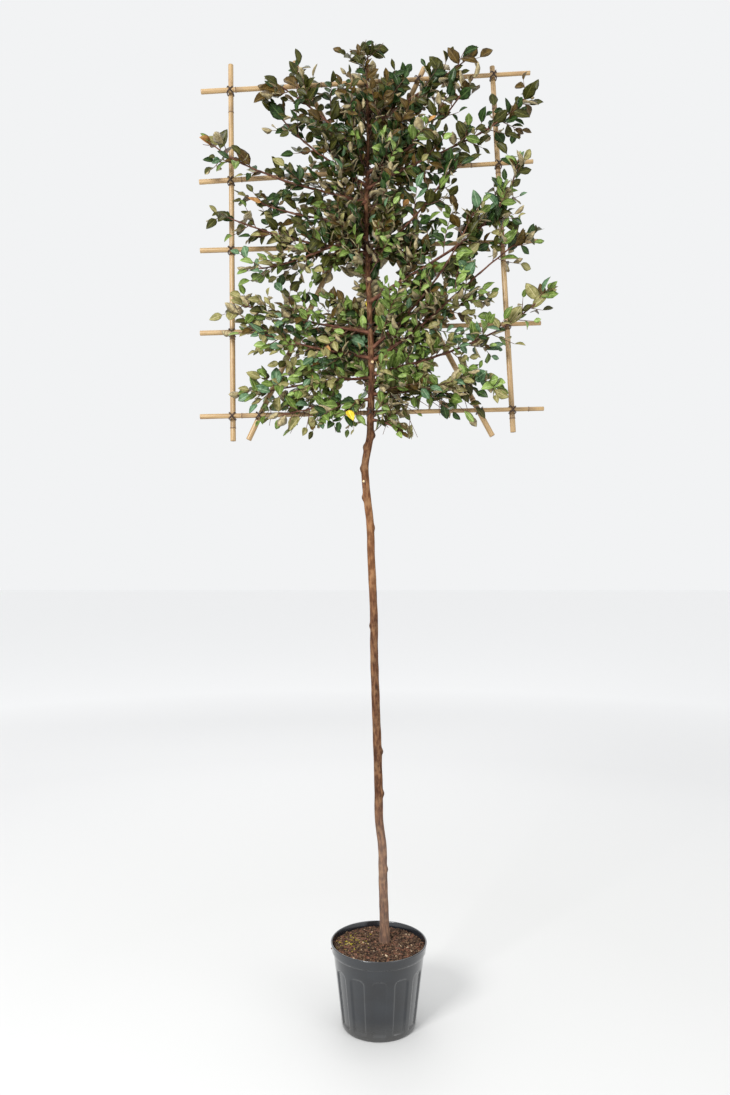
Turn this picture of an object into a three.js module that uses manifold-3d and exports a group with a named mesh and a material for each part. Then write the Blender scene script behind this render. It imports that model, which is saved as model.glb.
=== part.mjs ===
// Potted espaliered silverberry: a half-standard evergreen shrub trained flat on a bamboo lattice,
// standing in a 15 litre nursery pot. Millimetres, +Z up, +X to the right seen from the front (-Y).
// The origin is the centre of the pot's flat underside.

import * as THREE from "three";
import { mergeVertices } from "three/addons/utils/BufferGeometryUtils.js";
import Module from "manifold-3d";

const wasm = await Module();
wasm.setup();

// Clearance that parts seated on each other keep.
const GAP = 0.3;

// Pot and soil
const POT_HEIGHT = 275;
const POT_RIM_RADIUS = 160;
const POT_NECK_RADIUS = 151;
const POT_BASE_RADIUS = 123;
const POT_WALL = 3.5;
const POT_COLLAR_HEIGHT = 31;
const POT_SHOULDER = 5;
const POT_PANELS = 12;
const POT_PANEL_DEPTH = 2.2;
const POT_PANEL_FOOT = 18;
const POT_PANEL_HEAD = 205;
const POT_SIDES = 36;
const SOIL_HEIGHT = 250;

// Trunk: heights with the sideways wander of its centre there
const TRUNK_BENDS = [
  { height: 250, x: 20 },
  { height: 560, x: 13 },
  { height: 700, x: 0 },
  { height: 1320, x: -16 },
  { height: 1600, x: -26 },
  { height: 1850, x: -46 },
  { height: 1975, x: -28 },
  { height: 2150, x: -24 },
  { height: 2700, x: -42 },
  { height: 2930, x: -36 },
  { height: 3190, x: -37 },
];
const TRUNK_FOOT_Y = 12;
const TRUNK_UPRIGHT_FROM = 1850;
const TRUNK_FOOT_RADIUS = 15;
const TRUNK_HEAD_HEIGHT = 1975;
const TRUNK_HEAD_RADIUS = 12.2;
const TRUNK_TIP_RADIUS = 3.6;
const ROOT_FLARE = 6;
const ROOT_FLARE_HEIGHT = 45;
const TRUNK_SIDES = 8;
const TRUNK_RINGS = 28;

// Bamboo lattice: the ends of each cane as seen from the front, and its radii at those ends
const RUNG_RADIUS = [8.6, 7.2];
const UPRIGHT_RADIUS = [9.4, 8.6];
const RUNGS = [
  { name: "rung_1_top", from: [-596, 3113], to: [508, 3177] },
  { name: "rung_2", from: [-602, 2810], to: [518, 2880] },
  { name: "rung_3", from: [-599, 2580], to: [534, 2613] },
  { name: "rung_4", from: [-599, 2303], to: [544, 2337] },
  { name: "rung_5_bottom", from: [-599, 2023], to: [554, 2050] },
];
const UPRIGHTS = [
  { name: "upright_left", from: [-491, 1943], to: [-499, 3213], bow: 0 },
  { name: "upright_right", from: [454, 1973], to: [383, 3207], bow: 0 },
  { name: "diagonal_rising_right", from: [-439, 1947], to: [154, 3203], bow: 0 },
  { name: "diagonal_rising_left", from: [384, 1960], to: [-286, 3223], bow: 19.6 },
];
const CANE_SIDES = 8;
const BOWED_RINGS = 10;
const TIE_WIRE_RADIUS = 1.3;
const TIE_SLACK = 2;
const TIE_STEPS = 12;

// Boughs and the foliage they carry. from: height on the trunk; tip: where the foliage ends, seen
// from the front; slopes: degrees above level at the trunk and at the tip;
// depth: how far the tip lies behind the trunk (minus is in front); bare: the share that is bough;
// twig: length of the longest side twigs; bushy: how many times closer they stand, if not 1.
const ARMS = [
  { name: "left_1", from: 2875, tip: [-345, 3106], slopes: [43, 27], depth: -55, bare: 0.2, twig: 105 },
  { name: "left_2", from: 2790, tip: [-352, 3046], slopes: [34, 56], depth: -20, bare: 0, twig: 105 },
  { name: "left_3", from: 2735, tip: [-560, 2910], slopes: [13, 36], depth: -62, bare: 0.17, twig: 95 },
  { name: "left_4", from: 2655, tip: [-450, 2748], slopes: [9, 26], depth: -30, bare: 0, twig: 90 },
  { name: "left_5", from: 2565, tip: [-538, 2690], slopes: [8, 24], depth: -35, bare: 0.17, twig: 92 },
  { name: "left_6", from: 2618, tip: [-418, 2480], slopes: [-13, -5], depth: -105, bare: 0, twig: 74 },
  { name: "left_7", from: 2300, tip: [-462, 2388], slopes: [9, 20], depth: -40, bare: 0.16, twig: 84 },
  { name: "left_8", from: 2215, tip: [-430, 2300], slopes: [8, 20], depth: -72, bare: 0.16, twig: 100 },
  { name: "left_9", from: 2150, tip: [-404, 2088], slopes: [-4, -14], depth: -40, bare: 0, twig: 100 },
  { name: "left_10", from: 2078, tip: [-318, 2012], slopes: [-6, -14], depth: -85, bare: 0, twig: 84 },
  { name: "right_1", from: 2985, tip: [300, 3196], slopes: [34, 36], depth: -45, bare: 0.2, twig: 88 },
  { name: "right_2", from: 2835, tip: [292, 3096], slopes: [24, 57], depth: -72, bare: 0.18, twig: 108 },
  { name: "right_3", from: 2780, tip: [500, 3082], slopes: [31, 48], depth: -36, bare: 0.2, twig: 84 },
  { name: "right_4", from: 2535, tip: [250, 2850], slopes: [41, 60], depth: -60, bare: 0.17, twig: 108 },
  { name: "right_5", from: 2400, tip: [456, 2856], slopes: [36, 82], depth: -48, bare: 0.45, twig: 84 },
  { name: "right_6", from: 2245, tip: [306, 2672], slopes: [40, 66], depth: -84, bare: 0.22, twig: 92 },
  { name: "right_7", from: 2205, tip: [482, 2604], slopes: [30, 34], depth: -50, bare: 0.3, twig: 74 },
  { name: "right_8", from: 2160, tip: [556, 2424], slopes: [14, 46], depth: -66, bare: 0.2, twig: 84 },
  { name: "right_9", from: 2095, tip: [345, 2140], slopes: [0, 10], depth: -45, bare: 0, twig: 108 },
  { name: "right_10", from: 2010, tip: [62, 1962], slopes: [-12, -56], depth: -58, bare: 0, twig: 48 },
  {
    name: "back_upper", from: 3035, tip: [10, 3120], slopes: [62, 62], depth: 128,
    bare: 0, twig: 132, bushy: 2.6,
  },
  {
    name: "back_middle", from: 2672, tip: [-64, 2760], slopes: [80, 80], depth: 132,
    bare: 0, twig: 132, bushy: 2.6,
  },
  {
    name: "back_lower", from: 2225, tip: [-50, 2300], slopes: [100, 100], depth: 128,
    bare: 0, twig: 132, bushy: 2.6,
  },
];
const LEADER = { name: "leader", top: 3250, twig: 66, bushy: 2.6 };
const FIRST_SEED = 101;
const CURVE_HANDLE = 0.36;
const BOUGH_RADIUS = 6.6;
const BOUGH_END_RADIUS = 4.4;
const BOUGH_COLLAR = 2.6;
const STEM_TIP_RADIUS = 2.2;
const LIMB_SIDES = 5;
const STEM_SIDES = 4;
const STEM_RING = 60;
const BOUGH_RING = 45;
const ARM_CHAIN = 14;
const TRUNK_CHAIN = 60;

// Twigs and leaves, larger than life because each leaf stands for a few
const TWIG_STEP = 80;
const TWIG_RADIUS = 2.7;
const TWIG_TIP_RADIUS = 1.9;
const TWIG_ANGLE = 56;
const TWIG_SHORTENING = 0.68;
const LEAF_SHRINKING = 0.42;
const GOLDEN_ANGLE = 137.5;
const LEAF_LENGTH = 112;
const LEAF_WIDTH = 62;
const LEAF_THICKNESS = 3.4;
const LEAF_FOLD = 3;
const LEAF_WIDEST = 0.44;
const LEAF_ROWS = 7;
const LEAF_SPREAD = 9;
const LEAF_CLEARANCE = 2.2;
const LEAF_PLACES = [0.38, 0.7, 0.97];
const LEAF_ANGLE = 48;
const TIP_LEAVES = [
  [0.99, 16],
  [0.9, 48],
];
const LEAF_SWAY = 50;
const LEAF_SUNK = 0.9;
const FLAT_SIDES = [30, 150, 270];
const SPACE_MARGIN = 1.6;
const WOOD_CLEARANCE = 1;
const TWIG_CHECKS = 7;
const TRIES = 26;

// How far the crown reaches each way
const CROWN = { left: -580, right: 592, front: -180, back: 195, bottom: 1938, top: 3262 };

// Openings in the crown where the wall behind shows: centre and half sizes, seen from the front
const SKY_GAPS = [
  { x: -122, z: 2477, halfWidth: 60, halfHeight: 56 },
  { x: 33, z: 2492, halfWidth: 36, halfHeight: 48 },
  { x: -90, z: 2118, halfWidth: 38, halfHeight: 48 },
  { x: -356, z: 2428, halfWidth: 70, halfHeight: 26 },
  { x: 352, z: 2500, halfWidth: 46, halfHeight: 48 },
  { x: 310, z: 2785, halfWidth: 60, halfHeight: 52 },
  { x: 345, z: 3052, halfWidth: 36, halfHeight: 36 },
];

const COLOURS = {
  pot: 0x3b4146,
  soil: 0x4a3526,
  bark: 0x7c4e3b,
  bough: 0x603f34,
  cane: 0xd3b684,
  wire: 0x2e2622,
  leaf: 0x566b38,
};

function material(colour, roughness, metalness = 0) {
  return new THREE.MeshStandardMaterial({ color: colour, roughness, metalness, flatShading: true });
}

const FINISH = {
  pot: material(COLOURS.pot, 0.45),
  soil: material(COLOURS.soil, 0.95),
  bark: material(COLOURS.bark, 0.85),
  bough: material(COLOURS.bough, 0.8),
  cane: material(COLOURS.cane, 0.55),
  wire: material(COLOURS.wire, 0.5, 0.6),
  leaf: material(COLOURS.leaf, 0.6),
};

const UP = new THREE.Vector3(0, 0, 1);
const FORWARD = new THREE.Vector3(0, -1, 0);

// A run of numbers between 0 and 1 that a seed always repeats.
function seededRandom(seed) {
  let state = seed >>> 0;
  return function next() {
    state = (state + 0x6d2b79f5) >>> 0;
    let mixed = Math.imul(state ^ (state >>> 15), state | 1);
    mixed ^= mixed + Math.imul(mixed ^ (mixed >>> 7), mixed | 61);
    return ((mixed ^ (mixed >>> 14)) >>> 0) / 4294967296;
  };
}

// Trunk radius at a height: foot to head, then a faster taper to the tip, with a flare at the foot.
function trunkRadius(z) {
  const flare = ROOT_FLARE * Math.exp(-(z - SOIL_HEIGHT) / ROOT_FLARE_HEIGHT);
  if (z < TRUNK_HEAD_HEIGHT) {
    const share = (z - SOIL_HEIGHT) / (TRUNK_HEAD_HEIGHT - SOIL_HEIGHT);
    return THREE.MathUtils.lerp(TRUNK_FOOT_RADIUS, TRUNK_HEAD_RADIUS, share) + flare;
  }
  const tip = TRUNK_BENDS.at(-1).height;
  const share = Math.min(1, (z - TRUNK_HEAD_HEIGHT) / (tip - TRUNK_HEAD_HEIGHT));
  return THREE.MathUtils.lerp(TRUNK_HEAD_RADIUS, TRUNK_TIP_RADIUS, share);
}

// Trunk centre at a height. Above the head its back stays against the lattice as it thins.
function trunkCentre(z) {
  let upper = 1;
  while (upper < TRUNK_BENDS.length - 1 && TRUNK_BENDS[upper].height < z) upper += 1;
  const below = TRUNK_BENDS[upper - 1];
  const above = TRUNK_BENDS[upper];
  const blend = THREE.MathUtils.smoothstep(z, below.height, above.height);
  const x = THREE.MathUtils.lerp(below.x, above.x, blend);
  const lean = Math.max(0, 1 - (z - SOIL_HEIGHT) / (TRUNK_UPRIGHT_FROM - SOIL_HEIGHT));
  const rest = z > TRUNK_HEAD_HEIGHT ? TRUNK_HEAD_RADIUS - trunkRadius(z) : 0;
  return new THREE.Vector3(x, TRUNK_FOOT_Y * lean + rest, z);
}

// A closed tube of changing radius along a curve, from a cylinder bent onto it.
function limbGeometry(curve, radiusAt, sides, rings) {
  const geometry = new THREE.CylinderGeometry(1, 1, 1, sides, rings);
  const frames = curve.computeFrenetFrames(rings, false);
  const position = geometry.attributes.position;
  for (let i = 0; i < position.count; i += 1) {
    const ring = Math.round((0.5 - position.getY(i)) * rings);
    const radius = radiusAt(ring / rings);
    const point = curve.getPointAt(ring / rings);
    point.addScaledVector(frames.normals[ring], position.getX(i) * radius);
    point.addScaledVector(frames.binormals[ring], position.getZ(i) * radius);
    position.setXYZ(i, point.x, point.y, point.z);
  }
  return geometry;
}

// The trunk's rings all lie level, so its foot is a flat cut on the soil.
function trunkGeometry(extra, foot) {
  const geometry = new THREE.CylinderGeometry(1, 1, 1, TRUNK_SIDES, TRUNK_RINGS);
  const position = geometry.attributes.position;
  const tip = TRUNK_BENDS.at(-1).height;
  for (let i = 0; i < position.count; i += 1) {
    const share = position.getY(i) + 0.5;
    const z = THREE.MathUtils.lerp(foot, tip, share ** 1.08);
    const centre = trunkCentre(z);
    const radius = trunkRadius(z) + extra;
    const top = share > 0.999 ? extra : 0;
    position.setXYZ(
      i,
      centre.x + position.getX(i) * radius,
      centre.y - position.getZ(i) * radius,
      z + top,
    );
  }
  return geometry;
}

// A closed mesh with shared corners, as the boolean library takes it.
function solidOf(geometry) {
  geometry.deleteAttribute("normal");
  geometry.deleteAttribute("uv");
  const merged = mergeVertices(geometry, 1e-4);
  const mesh = new wasm.Mesh({
    numProp: 3,
    vertProperties: Float32Array.from(merged.attributes.position.array),
    triVerts: Uint32Array.from(merged.index.array),
  });
  return new wasm.Manifold(mesh);
}

function geometryOf(solid) {
  const mesh = solid.getMesh();
  const geometry = new THREE.BufferGeometry();
  geometry.setAttribute("position", new THREE.BufferAttribute(mesh.vertProperties, 3));
  geometry.setIndex(new THREE.BufferAttribute(mesh.triVerts, 1));
  geometry.computeVertexNormals();
  return geometry;
}

// The largest body of a solid, without loose scraps.
function largestBody(solid) {
  const bodies = solid.decompose();
  return bodies.reduce((best, body) => (body.volume() > best.volume() ? body : best));
}

function named(name, geometry, finish) {
  const mesh = new THREE.Mesh(geometry, finish);
  mesh.name = name;
  return mesh;
}

// Limbs are kept as chains of points with radii, so that twigs and leaves can stay clear of them.
// arms holds each arm's centre line, which marks out its space, and tieSpots a ball round each tie.
const limbs = [];
const arms = [];
const tieSpots = [];

function chainOf(name, curve, radiusAt, steps) {
  const points = [];
  const radii = [];
  for (let i = 0; i <= steps; i += 1) {
    points.push(curve.getPointAt(i / steps));
    radii.push(radiusAt(i / steps));
  }
  return { name, points, radii };
}

const scratch = { line: new THREE.Line3(), closest: new THREE.Vector3() };

// Distance from a point to the skin of a chain, or to its centre line.
function distanceTo(chain, point, toSkin) {
  let best = Infinity;
  for (let i = 0; i + 1 < chain.points.length; i += 1) {
    scratch.line.set(chain.points[i], chain.points[i + 1]);
    const share = scratch.line.closestPointToPointParameter(point, true);
    scratch.line.at(share, scratch.closest);
    const radius = toSkin ? THREE.MathUtils.lerp(chain.radii[i], chain.radii[i + 1], share) : 0;
    best = Math.min(best, scratch.closest.distanceTo(point) - radius);
  }
  return best;
}

// Centre line of an arm from the trunk's centre to its tip.
function armCurve(arm) {
  const start = trunkCentre(arm.from);
  const end = new THREE.Vector3(arm.tip[0], arm.depth, arm.tip[1]);
  const reach = start.distanceTo(end) * CURVE_HANDLE;
  const side = Math.sign(end.x - start.x) || 1;
  const chord = new THREE.Vector3().subVectors(end, start).normalize();
  const handle = (degrees) => {
    const angle = THREE.MathUtils.degToRad(degrees);
    const level = Math.sqrt(1 - chord.y * chord.y);
    return new THREE.Vector3(side * Math.cos(angle) * level, chord.y, Math.sin(angle) * level);
  };
  const first = start.clone().addScaledVector(handle(arm.slopes[0]), reach);
  const second = end.clone().addScaledVector(handle(arm.slopes[1]), -reach);
  return new THREE.CubicBezierCurve3(start, first, second, end);
}

// A stretch of a curve between two shares of its length.
class Stretch extends THREE.Curve {
  constructor(whole, from, to) {
    super();
    this.whole = whole;
    this.from = from;
    this.to = to;
  }

  getPoint(share, target = new THREE.Vector3()) {
    return this.whole.getPointAt(THREE.MathUtils.lerp(this.from, this.to, share), target);
  }
}

function boughRadius(share) {
  const collar = BOUGH_COLLAR * Math.exp(-share * 9);
  return THREE.MathUtils.lerp(BOUGH_RADIUS, BOUGH_END_RADIUS, share) + collar;
}

function stemRadius(share) {
  return THREE.MathUtils.lerp(BOUGH_END_RADIUS - 0.2, STEM_TIP_RADIUS, share);
}

// Pot: a turned shell with a collar, its wall pressed in by upright panels.
function makePot() {
  const neck = POT_HEIGHT - POT_COLLAR_HEIGHT;
  const inner = POT_NECK_RADIUS - POT_WALL;
  const profile = [
    [0, 0],
    [POT_BASE_RADIUS - 4, 0],
    [POT_BASE_RADIUS, 4],
    [wallRadius(POT_PANEL_FOOT), POT_PANEL_FOOT],
    [wallRadius(POT_PANEL_FOOT + 14), POT_PANEL_FOOT + 14],
    [wallRadius(POT_PANEL_HEAD), POT_PANEL_HEAD],
    [wallRadius(POT_PANEL_HEAD + 10), POT_PANEL_HEAD + 10],
    [POT_NECK_RADIUS, neck],
    [POT_NECK_RADIUS + POT_SHOULDER, neck + 2],
    [POT_RIM_RADIUS, POT_HEIGHT - 3],
    [POT_RIM_RADIUS - 2, POT_HEIGHT],
    [POT_RIM_RADIUS - 5, POT_HEIGHT],
    [inner, neck],
    [POT_BASE_RADIUS - POT_PANEL_DEPTH - POT_WALL, POT_WALL],
    [0, POT_WALL],
  ];
  const points = profile.map(([radius, z]) => new THREE.Vector2(radius, z));
  const geometry = new THREE.LatheGeometry(points, POT_SIDES);
  geometry.rotateX(Math.PI / 2);
  const position = geometry.attributes.position;
  for (let i = 0; i < position.count; i += 1) {
    const x = position.getX(i);
    const y = position.getY(i);
    const z = position.getZ(i);
    const radius = Math.hypot(x, y);
    const onPanel = z > POT_PANEL_FOOT + 1 && z < POT_PANEL_HEAD + 1;
    if (!onPanel) continue;
    const wave = Math.cos(Math.atan2(y, x) * POT_PANELS);
    const pressed = wave > 0 ? POT_PANEL_DEPTH : 0;
    position.setXY(i, (x * (radius - pressed)) / radius, (y * (radius - pressed)) / radius);
  }
  return named("pot", geometryOf(solidOf(geometry)), FINISH.pot);
}

// Radius of the pot's outer wall below its collar.
function wallRadius(z) {
  const share = z / (POT_HEIGHT - POT_COLLAR_HEIGHT);
  return THREE.MathUtils.lerp(POT_BASE_RADIUS, POT_NECK_RADIUS, share);
}

// Soil: fills the pot up to a level top, a little lower where it meets the wall.
function makeSoil() {
  const neck = POT_HEIGHT - POT_COLLAR_HEIGHT;
  const foot = POT_WALL + GAP;
  const footRadius = POT_BASE_RADIUS - POT_PANEL_DEPTH - POT_WALL - 1;
  const neckRadius = POT_NECK_RADIUS - POT_WALL - 1;
  const profile = [
    [0, foot],
    [footRadius, foot],
    [neckRadius, neck - 6],
    [neckRadius - 18, SOIL_HEIGHT],
    [0, SOIL_HEIGHT],
  ];
  const points = profile.map(([radius, z]) => new THREE.Vector2(radius, z));
  const geometry = new THREE.LatheGeometry(points, POT_SIDES / 2);
  geometry.rotateX(Math.PI / 2);
  return named("soil", geometryOf(solidOf(geometry)), FINISH.soil);
}

// Radius of a cane at a share of its length.
function caneRadius(radii, share) {
  return THREE.MathUtils.lerp(radii[0], radii[1], share);
}

// Lattice canes as seen from the front become straight or bowed poles that lie against one plane:
// rungs in front of it (side -1), uprights and diagonals behind it (side 1).
function caneCurve(cane, plane, side, radii) {
  const start = new THREE.Vector3(cane.from[0], plane + side * radii[0], cane.from[1]);
  const end = new THREE.Vector3(cane.to[0], plane + side * radii[1], cane.to[1]);
  const middle = start.clone().lerp(end, 0.5);
  middle.y += (cane.bow ?? 0) * 2;
  return new THREE.QuadraticBezierCurve3(start, middle, end);
}

function makeCane(cane, curve, radii) {
  const radiusAt = (share) => caneRadius(radii, share);
  const rings = cane.bow ? BOWED_RINGS : 1;
  const geometry = limbGeometry(curve, radiusAt, CANE_SIDES, rings);
  limbs.push(chainOf(cane.name, curve, radiusAt, rings));
  return named(cane.name, geometryOf(solidOf(geometry)), FINISH.cane);
}

// A wire tie: one loop round a front and a back pole where they cross, set on the slant.
function makeTie(name, front, back) {
  const reach = Math.SQRT2 * Math.max(front.radius, back.radius) + TIE_WIRE_RADIUS + TIE_SLACK;
  const nearest = front.centre.y - front.radius - GAP - TIE_WIRE_RADIUS;
  const furthest = back.centre.y + back.radius + GAP + TIE_WIRE_RADIUS;
  const middle = (nearest + furthest) / 2;
  const half = (furthest - nearest) / 2;
  const across = new THREE.Vector3(1, 0, 1).normalize();
  const geometry = new THREE.TorusGeometry(1, 0.5, 3, TIE_STEPS);
  const position = geometry.attributes.position;
  const squared = (value) => Math.sign(value) * Math.abs(value) ** 0.5;
  for (let i = 0; i < position.count; i += 1) {
    const angle = Math.atan2(position.getY(i), position.getX(i));
    const outward = (Math.hypot(position.getX(i), position.getY(i)) - 1) / 0.5;
    const aside = position.getZ(i) / 0.5;
    const wide = reach * squared(Math.cos(angle)) + Math.cos(angle) * outward * TIE_WIRE_RADIUS;
    const deep = half * squared(Math.sin(angle)) + Math.sin(angle) * outward * TIE_WIRE_RADIUS;
    const point = front.centre.clone().setY(middle + deep).addScaledVector(across, wide);
    point.x -= across.z * aside * TIE_WIRE_RADIUS;
    point.z += across.x * aside * TIE_WIRE_RADIUS;
    position.setXYZ(i, point.x, point.y, point.z);
  }
  tieSpots.push({ name, centre: front.centre.clone().setY(middle), radius: Math.max(reach, half) + 2 });
  return named(name, geometryOf(solidOf(geometry)), FINISH.wire);
}

// Where two canes cross, seen from the front.
function crossing(one, two) {
  const slopeX = one.to[0] - one.from[0];
  const slopeZ = one.to[1] - one.from[1];
  const otherX = two.to[0] - two.from[0];
  const otherZ = two.to[1] - two.from[1];
  const offX = two.from[0] - one.from[0];
  const offZ = two.from[1] - one.from[1];
  const share = (offX * otherZ - offZ * otherX) / (slopeX * otherZ - slopeZ * otherX);
  return [one.from[0] + share * slopeX, one.from[1] + share * slopeZ, share];
}

function makeLattice() {
  const pieces = [];
  const rungBack = TRUNK_HEAD_RADIUS + GAP + RUNG_RADIUS[0] + RUNG_RADIUS[1];
  const uprightFront = rungBack + GAP;
  for (const rung of RUNGS) {
    pieces.push(makeCane(rung, caneCurve(rung, rungBack, -1, RUNG_RADIUS), RUNG_RADIUS));
  }
  for (const pole of UPRIGHTS) {
    pieces.push(makeCane(pole, caneCurve(pole, uprightFront, 1, UPRIGHT_RADIUS), UPRIGHT_RADIUS));
  }
  RUNGS.forEach((rung, index) => {
    UPRIGHTS.slice(0, 2).forEach((upright, side) => {
      const [x, z, share] = crossing(rung, upright);
      const rise = (z - upright.from[1]) / (upright.to[1] - upright.from[1]);
      const frontRadius = caneRadius(RUNG_RADIUS, share);
      const backRadius = caneRadius(UPRIGHT_RADIUS, rise);
      const frontCentre = new THREE.Vector3(x, rungBack - frontRadius, z);
      const backCentre = new THREE.Vector3(x, uprightFront + backRadius, z);
      const front = { centre: frontCentre, radius: frontRadius };
      const back = { centre: backCentre, radius: backRadius };
      pieces.push(makeTie(`tie_${["left", "right"][side]}_${index + 1}`, front, back));
    });
  });
  const lowest = RUNGS.at(-1);
  const slope = (lowest.to[1] - lowest.from[1]) / (lowest.to[0] - lowest.from[0]);
  const centre = trunkCentre(lowest.from[1] - slope * lowest.from[0]);
  centre.z = lowest.from[1] + slope * (centre.x - lowest.from[0]);
  const front = { centre, radius: trunkRadius(centre.z) };
  const middleRadius = caneRadius(RUNG_RADIUS, 0.5);
  const back = { centre: centre.clone().setY(rungBack - middleRadius), radius: middleRadius };
  pieces.push(makeTie("tie_trunk", front, back));
  return pieces;
}

// A leaf of eight faces: a blade widest below its middle, folded up along its midrib.
function leafGeometry(leaf) {
  const geometry = new THREE.OctahedronGeometry(1, 0);
  const side = new THREE.Vector3().crossVectors(leaf.face, leaf.along);
  const position = geometry.attributes.position;
  for (let i = 0; i < position.count; i += 1) {
    const x = position.getX(i);
    const y = position.getY(i);
    const z = position.getZ(i);
    const forward = Math.abs(x) < 0.5 ? LEAF_WIDEST : (x + 1) / 2;
    const rise = (z * LEAF_THICKNESS) / 2 + Math.abs(y) * LEAF_FOLD;
    const point = leaf.root.clone().addScaledVector(leaf.along, forward * leaf.length);
    point.addScaledVector(side, (y * leaf.width) / 2);
    point.addScaledVector(leaf.face, rise);
    position.setXYZ(i, point.x, point.y, point.z);
  }
  return geometry;
}

// Points all over a leaf, which must lie inside its mass's own space and clear of every limb.
function leafPoints(leaf) {
  const side = new THREE.Vector3().crossVectors(leaf.face, leaf.along);
  const points = [];
  for (let row = 1; row <= LEAF_ROWS; row += 1) {
    const forward = row / LEAF_ROWS;
    const wide = forward < LEAF_WIDEST ? forward / LEAF_WIDEST : (1 - forward) / (1 - LEAF_WIDEST);
    for (const across of [-1, -0.5, 0, 0.5, 1]) {
      const point = leaf.root.clone().addScaledVector(leaf.along, forward * leaf.length);
      point.addScaledVector(side, (across * wide * leaf.width) / 2);
      points.push(point.addScaledVector(leaf.face, Math.abs(across) * wide * LEAF_FOLD));
    }
  }
  return points;
}

// True if any point of a leaf comes near a leaf that has grown already.
function isCrowded(points, leaves) {
  const near = (point) => (other) => other.distanceTo(point) < LEAF_SPREAD;
  return leaves.some((leaf) => points.some((point) => leaf.points.some(near(point))));
}

function inCrown(point) {
  const level = point.x > CROWN.left && point.x < CROWN.right;
  const deep = point.y > CROWN.front && point.y < CROWN.back;
  return level && deep && point.z > CROWN.bottom && point.z < CROWN.top;
}

function inSkyGap(point) {
  return SKY_GAPS.some((gap) => {
    const wide = (point.x - gap.x) / gap.halfWidth;
    const high = (point.z - gap.z) / gap.halfHeight;
    return wide * wide + high * high < 1;
  });
}

// True if a point is nearer this arm than any other, and clear of limbs, ties and open gaps.
function isFree(point, own, clearance) {
  if (!inCrown(point) || inSkyGap(point)) return false;
  const home = distanceTo(own, point, false);
  if (arms.some((arm) => arm !== own && distanceTo(arm, point, false) < home + SPACE_MARGIN)) {
    return false;
  }
  if (tieSpots.some((tie) => tie.centre.distanceTo(point) < tie.radius)) return false;
  return !limbs.some(
    (limb) => limb.name !== own.name && distanceTo(limb, point, true) < clearance,
  );
}

// Two directions square to an axis and to each other: one level, one raised.
function crossAxes(axis) {
  const level = new THREE.Vector3().crossVectors(axis, UP);
  if (level.length() < 0.2) level.crossVectors(axis, FORWARD);
  level.normalize();
  return [level, new THREE.Vector3().crossVectors(level, axis)];
}

// Unit vector at an angle from an axis, rolled about it from the level direction.
function branchDirection(axis, roll, angle) {
  const [level, raised] = crossAxes(axis);
  return axis
    .clone()
    .multiplyScalar(Math.cos(angle))
    .addScaledVector(level, Math.sin(angle) * Math.cos(roll))
    .addScaledVector(raised, Math.sin(angle) * Math.sin(roll))
    .normalize();
}

// A three-sided tapering twig with one edge on top, so its flat sides face the leaves.
function twigGeometry(line, axis) {
  const [level, raised] = crossAxes(axis);
  const geometry = new THREE.CylinderGeometry(1, 1, 1, 3, 1);
  const position = geometry.attributes.position;
  for (let i = 0; i < position.count; i += 1) {
    const share = position.getY(i) + 0.5;
    const radius = THREE.MathUtils.lerp(TWIG_RADIUS, TWIG_TIP_RADIUS, share);
    const point = line.getPoint(share);
    point.addScaledVector(level, position.getX(i) * radius);
    point.addScaledVector(raised, position.getZ(i) * radius);
    position.setXYZ(i, point.x, point.y, point.z);
  }
  return geometry;
}

// True if no point of a leaf comes near the mass's own wood, but for the piece that bears it.
function clearOfWood(points, mass, bearer) {
  const wood = mass.wood.filter((limb) => limb !== bearer);
  return points.every((point) => wood.every((limb) => distanceTo(limb, point, true) > WOOD_CLEARANCE));
}

// Adds one leaf on a flat side of a twig or stem to its mass, or none if no try finds room for it.
function growLeaf(mass, bearer, place, axis, leafAngle, scale) {
  const { random, leaves } = mass;
  for (let attempt = 0; attempt < TRIES; attempt += 1) {
    const flat = FLAT_SIDES[Math.floor(random() * FLAT_SIDES.length)];
    const roll = THREE.MathUtils.degToRad(flat + (random() - 0.5) * LEAF_SWAY);
    const angle = THREE.MathUtils.degToRad(leafAngle * (0.75 + 0.5 * random()));
    const along = branchDirection(axis, roll, angle);
    const tilt = new THREE.Vector3(0.8 * random() - 0.4, -0.5 - 0.7 * random(), 0.8 * random());
    const size = (0.84 + 0.32 * random()) * scale;
    const face = tilt.addScaledVector(along, -tilt.dot(along)).normalize();
    const root = place.clone().addScaledVector(along, -LEAF_SUNK);
    const leaf = { root, along, face, length: LEAF_LENGTH * size, width: LEAF_WIDTH * size };
    const points = leafPoints(leaf);
    if (isCrowded(points, leaves) || !clearOfWood(points, mass, bearer)) continue;
    if (!points.every((point) => isFree(point, mass.own, LEAF_CLEARANCE))) continue;
    leaves.push({ ...leaf, points });
    return;
  }
}

// A side twig of a stem, or nothing if no try finds room for it.
function growTwig(mass, root, axis, length, turn) {
  const { random } = mass;
  for (let attempt = 0; attempt < TRIES; attempt += 1) {
    const roll = THREE.MathUtils.degToRad(turn + (random() - 0.5) * 60 + attempt * 50);
    const angle = THREE.MathUtils.degToRad(TWIG_ANGLE + (random() - 0.5) * 24);
    const direction = branchDirection(axis, roll, angle);
    const end = root.clone().addScaledVector(direction, length * (0.85 + 0.3 * random()));
    const line = new THREE.LineCurve3(root, end);
    const points = line.getPoints(TWIG_CHECKS).slice(1);
    if (!clearOfWood(points, mass, mass.wood[0])) continue;
    if (!points.every((point) => isFree(point, mass.own, TWIG_RADIUS + 1))) continue;
    return { line, direction, chain: chainOf("twig", line, () => TWIG_RADIUS, 1) };
  }
  return null;
}

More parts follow.
